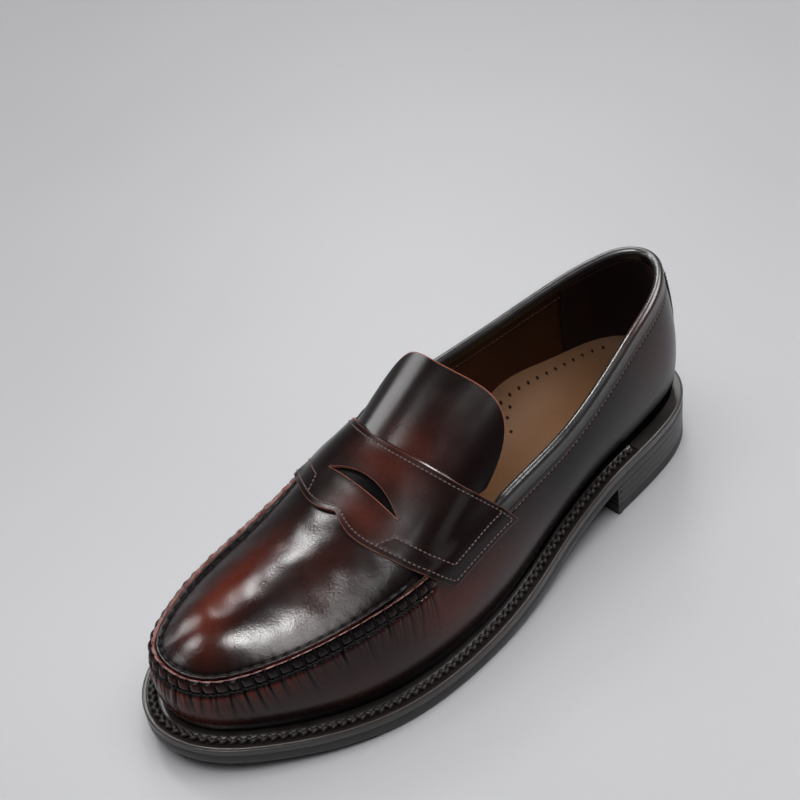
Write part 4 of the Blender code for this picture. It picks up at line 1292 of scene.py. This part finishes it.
def plug():
    """The top of the vamp: a dome whose edge turns up against the wall inside the seam."""
    ts, turn_y = plug_stations()
    edge = rim(ts) - level(outward(rim, ts)) * 0.15
    spine_y = np.maximum(edge[:, 1], turn_y)
    left, right = across(PLUG_OUTLINE, spine_y)
    spine = np.stack([0.5 * (left[:, 0] + right[:, 0]), spine_y], -1)
    reach = np.linalg.norm(spine - edge[:, :2], axis=1)[:, None]
    near = np.concatenate([np.linspace(0, 3.2, 13), np.linspace(3.7, 6.5, 6)])
    far = np.linspace(0, 1, 34)[1:]
    distance = np.concatenate([near + 0 * reach, 6.5 + (reach - 6.5) * far], axis=1)
    share = (distance / reach)[..., None]
    flat = edge[:, None, :2] * (1 - share) + spine[:, None] * share
    x, y = flat[..., 0], flat[..., 1]
    at_strand = hump(strand_gap(seam_phase(ts)), 0, 0.8)[:, None] * seam_fade(ts)[:, None]
    turned_up = PLUG_DROP * (1 - smooth_step(distance, 0.0, 2.0)) ** 1.2
    pinch = 0.4 * hump(distance, 1.4, 0.8) * at_strand
    scallop = 0.05 * hump(distance, 3.2, 1.8) * (1 - at_strand)
    relief = turned_up - pinch + scallop + smooth_step(distance, 2.0, 9.0) * uneven(x, y)
    points = np.concatenate([flat, (instep(x, y) + relief)[..., None]], -1)
    # Painted shade along the plug's edge where it turns up against the seam, and under the strap.
    seam_painted_shade = np.clip(0.85 * hump(distance, 1.6, 1.0) + 0.35 * hump(distance, 0, 5), 0, 1)
    layers = {"glow": spots(points, PLUG_GLOW), "raw": 0 * distance,
              "painted_shade": np.maximum(0.8 * seam_painted_shade, slot_shade(points))}
    leather_sheet("plug_leather", points, sheet_faces(points), ("upper", "ridge"), ["plug"], layers,
                  PLUG_LEATHER, False, bevel=0.2)


def slot_shade(points):
    """Painted shade on the plug where the strap covers it, a little less so at the slot's inner end; it also
    dulls the shine there.
    """
    return (0.95 - 0.14 * smooth_step(-points[..., 0], 0, 14)) * smooth_step(points[..., 1], -46, -41)


def uneven(x, y):
    """Slight waviness of leather drawn over the last."""
    rng = np.random.default_rng(5)
    total = 0 * x
    for _ in range(9):
        angle = rng.uniform(0, math.pi)
        length = rng.uniform(9, 22)
        phase = rng.uniform(0, 2 * math.pi)
        run = x * math.cos(angle) + y * math.sin(angle)
        total = total + 0.0016 * length * np.sin(2 * math.pi * run / length + phase)
    return total


def plug_threads():
    """The seam's thread where it comes through on the plug's side."""
    inside = STRANDS[1:-1]
    steps = np.linspace(0.35, 2.0, 6)
    drop = PLUG_DROP * smooth_step(steps, 0.1, 2.0) ** 0.8
    arch = 0.25 * np.sin(np.linspace(0, math.pi, 6))
    shapes = []
    for place, inwards in zip(rim(inside), -level(outward(rim, inside))):
        path = place + inwards * steps[:, None]
        path[:, 2] += 0.15 - drop + arch
        shapes.append(tube(path, (0.3, 0.45, 0.5, 0.5, 0.42, 0.25)))
    thread_piece("moccasin_thread_inner", shapes)


# ---------------------------------------------------------------- the form under the strap

def cubic_weights(f):
    return np.stack([-0.5 * f + f ** 2 - 0.5 * f ** 3, 1 - 2.5 * f ** 2 + 1.5 * f ** 3,
                     0.5 * f + 2 * f ** 2 - 1.5 * f ** 3, -0.5 * f ** 2 + 0.5 * f ** 3], -1)


class Form:
    """The outside of the upper as a smooth table: distance across the instep by y."""

    AXIS = np.array([-2.0, 38.0])
    ANGLES = np.radians(np.arange(-120, 120.5, 1.0))
    Y_STEP = 2.5
    U_STEP = 2.0

    def __init__(self):
        self.ys = np.arange(-72, 36.1, self.Y_STEP)
        self.us = np.arange(-68, 68.1, self.U_STEP)
        t = np.linspace(0, 1, 480, endpoint=False)
        v = np.linspace(0, 1, 22)
        side = wall(*spread(t, v))
        a = side_shares(61)
        y, _ = spread(np.linspace(-125, 38, 90), a)
        left, right = across(PLUG_OUTLINE, y[:, 0])
        x = 0.5 * (left[:, :1] + right[:, :1]) + 0.5 * (right[:, :1] - left[:, :1]) * a
        top = np.stack([x, y, instep(x, y)], -1)
        points = np.vstack([side.reshape(-1, 3), top.reshape(-1, 3)])
        faces = grid_faces(*side.shape[:2], close_rows=True)
        faces += grid_faces(*top.shape[:2], first=side.shape[0] * side.shape[1])
        self.tree = BVHTree.FromPolygons([Vector(p) for p in points.tolist()], faces)
        table = np.array([self.section(y) for y in self.ys])
        for _ in range(2):
            padded = np.pad(table, ((1, 1), (0, 0), (0, 0)), mode="edge")
            table = 0.25 * padded[:-2] + 0.5 * padded[1:-1] + 0.25 * padded[2:]
        self.table = table

    def section(self, y):
        """x and z of the smoothed section at y, at even distances across."""
        reach = []
        for angle in self.ANGLES:
            hit = self.tree.ray_cast(Vector((self.AXIS[0], y, self.AXIS[1])),
                                     Vector((math.sin(angle), 0, math.cos(angle))))
            reach.append(hit[3] if hit[0] else np.nan)
        reach = np.array(reach)
        known = ~np.isnan(reach)
        raw = np.interp(self.ANGLES, self.ANGLES[known], reach[known])
        smooth = raw
        for _ in range(40):
            blurred = np.convolve(np.pad(smooth, 1, mode="edge"), (0.25, 0.5, 0.25), "valid")
            smooth = np.maximum(raw, blurred)
        for _ in range(14):
            smooth = np.convolve(np.pad(smooth, 1, mode="edge"), (0.25, 0.5, 0.25), "valid")
        x = self.AXIS[0] + smooth * np.sin(self.ANGLES)
        z = self.AXIS[1] + smooth * np.cos(self.ANGLES)
        length = np.append(0, np.cumsum(np.hypot(np.diff(x), np.diff(z))))
        length -= np.interp(0, self.ANGLES, length)
        return np.stack([np.interp(self.us, length, x), np.interp(self.us, length, z)], -1)

    def point(self, u, y):
        u, y = np.broadcast_arrays(np.asarray(u, float), np.asarray(y, float))
        row = (y - self.ys[0]) / self.Y_STEP
        column = (u - self.us[0]) / self.U_STEP
        i = np.clip(np.floor(row).astype(int), 1, len(self.ys) - 3)
        j = np.clip(np.floor(column).astype(int), 1, len(self.us) - 3)
        wi = cubic_weights(np.clip(row - i, -1, 2))
        wj = cubic_weights(np.clip(column - j, -1, 2))
        total = np.zeros(u.shape + (2,))
        for a in range(4):
            for b in range(4):
                total += (wi[..., a] * wj[..., b])[..., None] * self.table[i - 1 + a, j - 1 + b]
        return np.stack([total[..., 0], y, total[..., 1]], -1)

    def normal(self, u, y):
        small = 0.4
        across_it = self.point(u + small, y) - self.point(u - small, y)
        along_it = self.point(u, y + small) - self.point(u, y - small)
        return unit(np.cross(across_it, along_it))

    def over(self, u, y, height):
        return self.point(u, y) + self.normal(u, y) * np.asarray(height)[..., None]


# ---------------------------------------------------------------- saddle

front_inner = open_spline(SADDLE_FRONT_INNER)
front_outer = open_spline(SADDLE_FRONT_OUTER)
saddle_rear = open_spline(SADDLE_REAR)


def saddle_front(u):
    """Two lobes that meet in a notch."""
    return np.where(u < SADDLE_NOTCH, front_inner(u), front_outer(u))


def slot_front(u):
    """The slot's straight lip, carried on to the strap's ends a little inside its front edge."""
    return np.maximum(SLOT_FRONT_Y, saddle_front(u) + 4.0)


def slot_rear(u):
    share = np.clip(np.abs(u - SLOT_MIDDLE) / SLOT_HALF, 0, 1)
    return slot_front(u) + SLOT_ARCH * (1 - share ** 2)


def saddle_lines():
    """Stitch lines of the strap in the flat, as u, y polylines."""
    edge = SADDLE_HALF - ROW_INSET
    second = SADDLE_HALF - SECOND_ROW
    us = np.linspace(-edge, edge, 240)
    lines = [np.column_stack([us, saddle_rear(us) - ROW_INSET])]
    for side in (us[us < SADDLE_NOTCH - 1.0], us[us > SADDLE_NOTCH + 1.0]):
        lines.append(np.column_stack([side, saddle_front(side) + ROW_INSET]))
    for sign in (-1, 1):
        low, high = saddle_front(sign * edge) + ROW_INSET, saddle_rear(sign * edge) - ROW_INSET
        lines.append(np.column_stack([np.full(40, sign * edge), np.linspace(low, high, 40)]))
        low, high = saddle_rear(sign * second) - ROW_INSET, saddle_front(sign * second) + BOX_INSET
        lines.append(np.column_stack([np.full(30, sign * second), np.linspace(low, high, 30)]))
        box = sign * np.linspace(second, BOX_END, 30)
        lines.append(np.column_stack([box, saddle_front(box) + BOX_INSET]))
        start = np.array([sign * BOX_END, saddle_front(sign * BOX_END) + BOX_INSET])
        stop = np.array([sign * BOX_FOOT, saddle_front(sign * BOX_FOOT) + ROW_INSET])
        lines.append(start + (stop - start) * np.linspace(0, 1, 12)[:, None])
    return lines


def line_distance(u, y, lines):
    """Distance in the flat to the nearest point of the lines."""
    marks = np.vstack(lines)
    flat = np.stack([u.ravel(), y.ravel()], -1)
    nearest = np.full(len(flat), np.inf)
    for block in np.array_split(marks, max(1, len(marks) // 60)):
        gap = np.sqrt(((flat[:, None] - block[None]) ** 2).sum(-1)).min(axis=1)
        nearest = np.minimum(nearest, gap)
    return nearest.reshape(u.shape)


def saddle_columns():
    """Columns that fall on the slot's ends and on the notch."""
    stops = (-SADDLE_HALF, SLOT_MIDDLE - SLOT_HALF, SADDLE_NOTCH, SLOT_MIDDLE + SLOT_HALF, SADDLE_HALF)
    parts = [np.linspace(a, b, int(round((b - a) / 0.6)) + 1)[:-1] for a, b in zip(stops, stops[1:])]
    return np.append(np.concatenate(parts), SADDLE_HALF)


def saddle(form):
    """The strap with its lens slot, stitched down round its edges."""
    us = saddle_columns()
    front_share = np.concatenate([[0, 0.02], np.linspace(0.06, 0.94, 28), [0.98, 1]])
    rear_share = np.concatenate([[0, 0.014], np.linspace(0.045, 0.955, 32), [0.986, 1]])
    fy = saddle_front(us)[:, None] + (slot_front(us) - saddle_front(us))[:, None] * front_share
    ry = slot_rear(us)[:, None] + (saddle_rear(us) - slot_rear(us))[:, None] * rear_share
    uu, ys = spread(us, np.concatenate([fy, ry], axis=1))
    split = fy.shape[1]
    lines = saddle_lines()
    groove = ROW_GROOVE * hump(line_distance(uu, ys, lines), 0, 0.9)
    in_slot = 1 - smooth_step(np.abs(uu - SLOT_MIDDLE), 0.55 * SLOT_HALF, SLOT_HALF)
    behind = ys - slot_rear(us)[:, None]
    lip = 0.1 * in_slot * np.where(behind >= -0.01, hump(behind, 0, 3.0), 0)
    sag = 0.2 * in_slot * np.where(behind < -0.01, hump(ys, SLOT_FRONT_Y, 4.0), 0)
    points = form.over(uu, ys, SADDLE_SLACK + lip - sag - groove + seam_bump(uu, ys))
    faces = sheet_faces(points, form.normal(uu, ys))
    faces = [face for face in faces if {k % ys.shape[1] for k in face} != {split - 1, split}]
    glow = spots(points, STRAP_GLOW)
    raw = np.zeros_like(glow)
    raw[:, [0, -1]] = 0.5
    raw[[0, -1], :] = 0.4
    at_slot = np.abs(us - SLOT_MIDDLE) < SLOT_HALF - 0.1
    raw[at_slot, split - 1] = 1.0
    raw[at_slot, split] = 0.5
    # Painted shade along the stitch rows' grooves, eight times their depth.
    leather_sheet("saddle_leather", points, faces, ("strap", "raw"), ["saddle"],
                  {"glow": glow, "raw": raw, "painted_shade": 8 * groove}, SADDLE, True, bevel=0.22)
    rows = []
    for u, y in (line.T for line in lines):
        place = form.over(u, y, SADDLE_SLACK + SADDLE - 0.16 + seam_bump(u, y))
        rows.append(walk(place, form.normal(u, y), STRAP_PITCH))
    sewn("saddle_stitches", rows, length=1.6, radius=0.34, lift=0.24)


def seam_bump(u, y):
    """Rise of the strap where it passes over the moccasin seam."""
    forward = hump(np.clip(y - saddle_front(u), 0, None), 0, 6.0)
    return sum(0.7 * hump(u, middle, 3.6) for middle in SEAM_CROSSINGS) * forward


# ---------------------------------------------------------------- tongue

def tongue(form):
    """The tongue: an arched flap that runs from under the saddle up and back."""
    low, high = TONGUE_EDGES
    side = side_shares(120)
    us = 0.5 * (low + high) + 0.5 * (high - low) * side
    side = 0.996 * side
    length = TONGUE_LENGTH * (1 - np.abs(side) ** np.where(side < 0, 7, 4.4)) ** 0.55
    root_y = saddle_rear(us) + 0.6
    base = form.point(us, root_y)
    direction = np.array([0, math.cos(TONGUE_SLOPE), math.sin(TONGUE_SLOPE)])
    rows = [form.point(us, root_y - TONGUE_TUCK * share) for share in (1.0, 0.5)]
    for k in np.append(np.linspace(0, 0.985, 44), 1.0):
        row = base + direction * (length * k)[:, None]
        flare = 1.2 * smooth_step(side, 0.2, 1.0) * np.sin(0.5 * math.pi * k) ** 1.3
        row[:, 0] += flare
        row[:, 2] -= 0.4 * flare
        rows.append(row)
    points = np.array(rows)
    normals = normals_of(points)
    normals *= np.sign(normals[..., 2:]) + (normals[..., 2:] == 0)
    glow = spots(points, TONGUE_GLOW)
    raw = np.zeros_like(glow)
    raw[-1] = 1.0
    raw[3:, [0, -1]] = 1.0
    item = piece("tongue_leather", points, sheet_faces(points, normals), [LOOK["strap"], LOOK["raw"]],
                 body=None, slot="upper_leather", replaces=["tongue"],
                 layers={"glow": glow, "raw": raw, "painted_shade": 0 * glow}, sharp=UPPER_SHARP)
    thicken(item, TONGUE, False)
    apply_modifiers(item)
    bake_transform(item)


# ---------------------------------------------------------------- collar and linings

def collar_piping():
    """Rolled binding of the topline: a round bead with a skirt sewn down on the quarters."""
    ts = even(rim_t(-5.0, False), 1 + rim_t(-2.0, True), 1.1, rim)
    out = level(outward(rim, ts))
    base = rim(ts)
    skirt = v_below(ts, np.array([1.6, 0.6])).T
    rows = [wall_layer(ts, skirt[k], lift) for k, lift in ((0, 0.05), (0, 0.42), (1, 0.48))]
    radius = COLLAR_RADIUS * (1 + bead_wrinkles(ts)) * bead_taper(ts)
    for angle in np.radians(np.linspace(-25, 215, 17)):
        row = base + out * (COLLAR_RADIUS - 0.1 + radius * math.cos(angle))[:, None]
        row[:, 2] += -COLLAR_RADIUS - 0.1 + radius * math.sin(angle)
        rows.append(row)
    for inset, drop in ((0.5, 5.6), (1.6, 5.5)):
        row = base + out * inset
        row[:, 2] -= drop
        rows.append(row)
    points = np.array(rows)
    plain = np.zeros(points.shape[:2])
    face_out(piece("collar_piping_bead", points, bar_faces(*points.shape[:2]), [LOOK["piping"]],
                   slot="upper_leather", replaces=["collar_piping"], sharp=EDGE_SHARP,
                   layers={"glow": spots(points, PIPING_GLOW), "raw": plain, "painted_shade": plain}))


def bead_taper(ts):
    """The bead thins where it passes under the strap."""
    y = rim(ts)[:, 1]
    return 0.62 + 0.38 * np.where(ts > 1, smooth_step(y, 1.0, 9.0), smooth_step(y, -5.0, 0.0))


def bead_wrinkles(ts):
    """Fine creases across the bead where it bends at the front of the quarters."""
    run = rim(ts)[:, 1]
    where = smooth_step(run, -6, 4) * (1 - smooth_step(run, 22, 46))
    return 0.012 * where * (np.sin(run * 2.3) + 0.6 * np.sin(run * 3.9 + 1)) + 0.004 * np.sin(run * 0.9)


def collar_stitches():
    """Topline stitching through quarter and lining, outside and inside."""
    ts = even(rim_t(2.0, False), 1 + rim_t(11.0, True), 0.9, rim)
    v = v_below(ts, np.array([TOPLINE_ROW]))[:, 0]
    normal = wall_normal(ts, v)
    outer = walk(wall_layer(ts, v, -0.2), normal, TOPLINE_PITCH)
    inner = walk(wall_layer(ts, v, -(LEATHER + JOIN + LINING + 0.15)), -normal, TOPLINE_PITCH)
    sewn("collar_stitches", [outer], length=1.9, radius=0.33, lift=0.22)
    sewn("lining_stitches", [inner], length=1.7, radius=0.26, lift=0.14, look="brown_thread")


def lining_sheet(name, start, stop, top, depth, look, slot, replaces):
    """A lining sheet inside the wall, between two stations and up to the v of its top."""
    tt, vv = spread(even(start, stop, 2.0, rim), np.linspace(0.03, top, 36))
    points = wall_layer(tt, vv, -depth)
    item = piece(name, points, sheet_faces(points, wall_normal(tt, vv)), [LOOK[look]], slot=slot,
                 replaces=[replaces])
    thicken(item, LINING, False, rim_slot=0, bevel=0.2)


def linings():
    depth = LEATHER + JOIN
    front = (rim_t(-6.0, True), rim_t(-6.0, False))
    grip = (rim_t(108.0, True), rim_t(108.0, False))
    brown = ("lining", "lining_leather")
    lining_sheet("vamp_lining_leather", *front, 0.84, depth, *brown, "vamp_lining")
    lining_sheet("quarter_lining_outer", grip[0], front[0], 1.0, depth, *brown, "quarter_lining_lateral")
    lining_sheet("quarter_lining_inner", front[1], grip[1], 1.0, depth, *brown, "quarter_lining_medial")
    lining_sheet("heel_grip_suede", grip[1] - 1 - 0.004, grip[0] + 0.004, 0.995, depth + LINING,
                 "suede", "heel_suede", "heel_grip")


def backstay():
    """Narrow strap over the back seam, sewn down both sides."""
    half = BACKSTAY_HALF
    tt, vv = spread(np.linspace(-half, half, 19), np.linspace(0.36, 0.965, 80))
    points = wall_layer(tt, vv, 0.1 + 0.35 * (1 - (tt / half) ** 2))
    plain = 0 * tt
    item = piece("backstay_leather", points, sheet_faces(points, wall_normal(tt, vv)),
                 [LOOK["strap"], LOOK["raw"]], slot="upper_leather", replaces=["backstay"],
                 layers={"glow": plain, "raw": plain, "painted_shade": plain}, sharp=UPPER_SHARP)
    thicken(item, BACKSTAY, True, rim_slot=0)
    rows = []
    for t in (-0.72 * half, 0.72 * half):
        t, v = np.full(200, t), np.linspace(0.38, 0.945, 200)
        rows.append(walk(wall_layer(t, v, 1.2), wall_normal(t, v), TOPLINE_PITCH))
    sewn("backstay_stitches", rows, length=1.9, radius=0.3, lift=0.2)


# ---------------------------------------------------------------- pieces kept from the frame

def finish_kept_nodes():
    """Procedural finishes for the inner pieces whose shape stays as it is."""
    looks = {"shank": "shank", "cork_filler": "cork", "insole_board": "board", "heel_pad": "foam",
             "heel_counter": "board", **{f"heel_nail_{k + 1}": "steel" for k in range(5)}}
    for name, look in looks.items():
        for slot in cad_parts[name].material_slots:
            slot.material = LOOK[look]


# ---------------------------------------------------------------- studio

def floor():
    item = place_mesh("studio_floor", (), (), [LOOK["floor"]])
    work = bmesh.new()
    bmesh.ops.create_grid(work, x_segments=8, y_segments=8, size=4.0)
    work.to_mesh(item.data)
    work.free()


def soft_light(name, place, target, size, power, hidden_from="visible_diffuse"):
    """A rectangular lamp of its own, in metres, turned to its target."""
    lamp = bpy.data.lights.new(name, "AREA")
    lamp.shape = "RECTANGLE"
    lamp.size, lamp.size_y = size
    lamp.energy = power
    item = in_scene(name, lamp)
    item.location = Vector(place)
    item.rotation_euler = (Vector(target) - Vector(place)).to_track_quat("-Z", "Y").to_euler()
    setattr(item, hidden_from, False)


def studio_world():
    """A pale backdrop at the horizon that fades to a dim ceiling."""
    world = bpy.data.worlds.new("studio_world")
    bpy.context.scene.world = world
    world.use_nodes = True
    tree = world.node_tree
    place = tree.nodes.new("ShaderNodeTexCoord")
    split = tree.nodes.new("ShaderNodeSeparateXYZ")
    ramp = tree.nodes.new("ShaderNodeValToRGB")
    tree.links.new(place.outputs["Generated"], split.inputs[0])
    tree.links.new(split.outputs["Z"], ramp.inputs["Fac"])
    tree.links.new(ramp.outputs["Color"], tree.nodes["Background"].inputs["Color"])
    stops = ramp.color_ramp.elements
    stops[0].position, stops[0].color = 0.0, (0.34, 0.35, 0.365, 1)
    stops[1].position, stops[1].color = 1.0, (0.016, 0.016, 0.017, 1)
    for position, tone in ((0.15, 0.2), (0.35, 0.07), (0.6, 0.025)):
        stop = stops.new(position)
        stop.color = (tone, 1.02 * tone, 1.06 * tone, 1)


def studio():
    studio_world()
    bpy.context.scene.view_settings.view_transform = "Standard"
    soft_light("fill_above", (0.0, 0.1, 2.2), (0, 0, 0), (2.6, 2.6), 66.0, hidden_from="visible_glossy")
    for name, *settings in WINDOWS:
        soft_light(name, *settings)


def camera():
    """At the shoe's outer front, looking down on it, with a slight roll."""
    azimuth, elevation, roll = np.radians(CAMERA_ANGLES)
    back = np.array([math.sin(azimuth) * math.cos(elevation), -math.cos(azimuth) * math.cos(elevation),
                     math.sin(elevation)])
    right = unit(np.cross(-back, (0, 0, 1.0)))
    up = np.cross(right, -back)
    turned_right = math.cos(roll) * right + math.sin(roll) * up
    turned_up = -math.sin(roll) * right + math.cos(roll) * up
    place = (np.array(CAMERA_PLACE) - np.append(CENTRE, 0)) * MM
    columns = np.column_stack([turned_right, turned_up, back, place])
    lens = bpy.data.cameras.new("view_camera")
    lens.lens = 72
    lens.sensor_width = 36
    item = in_scene("view_camera", lens)
    item.matrix_world = Matrix([*columns.tolist(), (0, 0, 0, 1)])
    bpy.context.scene.camera = item


# ---------------------------------------------------------------- build

def build():
    outsole()
    welt_and_rand()
    welt_stitches()
    heel_stack()
    footbed()
    upper_wall()
    seam_threads()
    plug()
    plug_threads()
    form = Form()
    saddle(form)
    tongue(form)
    collar_piping()
    collar_stitches()
    linings()
    backstay()
    finish_kept_nodes()
    floor()
    studio()
    camera()


build()
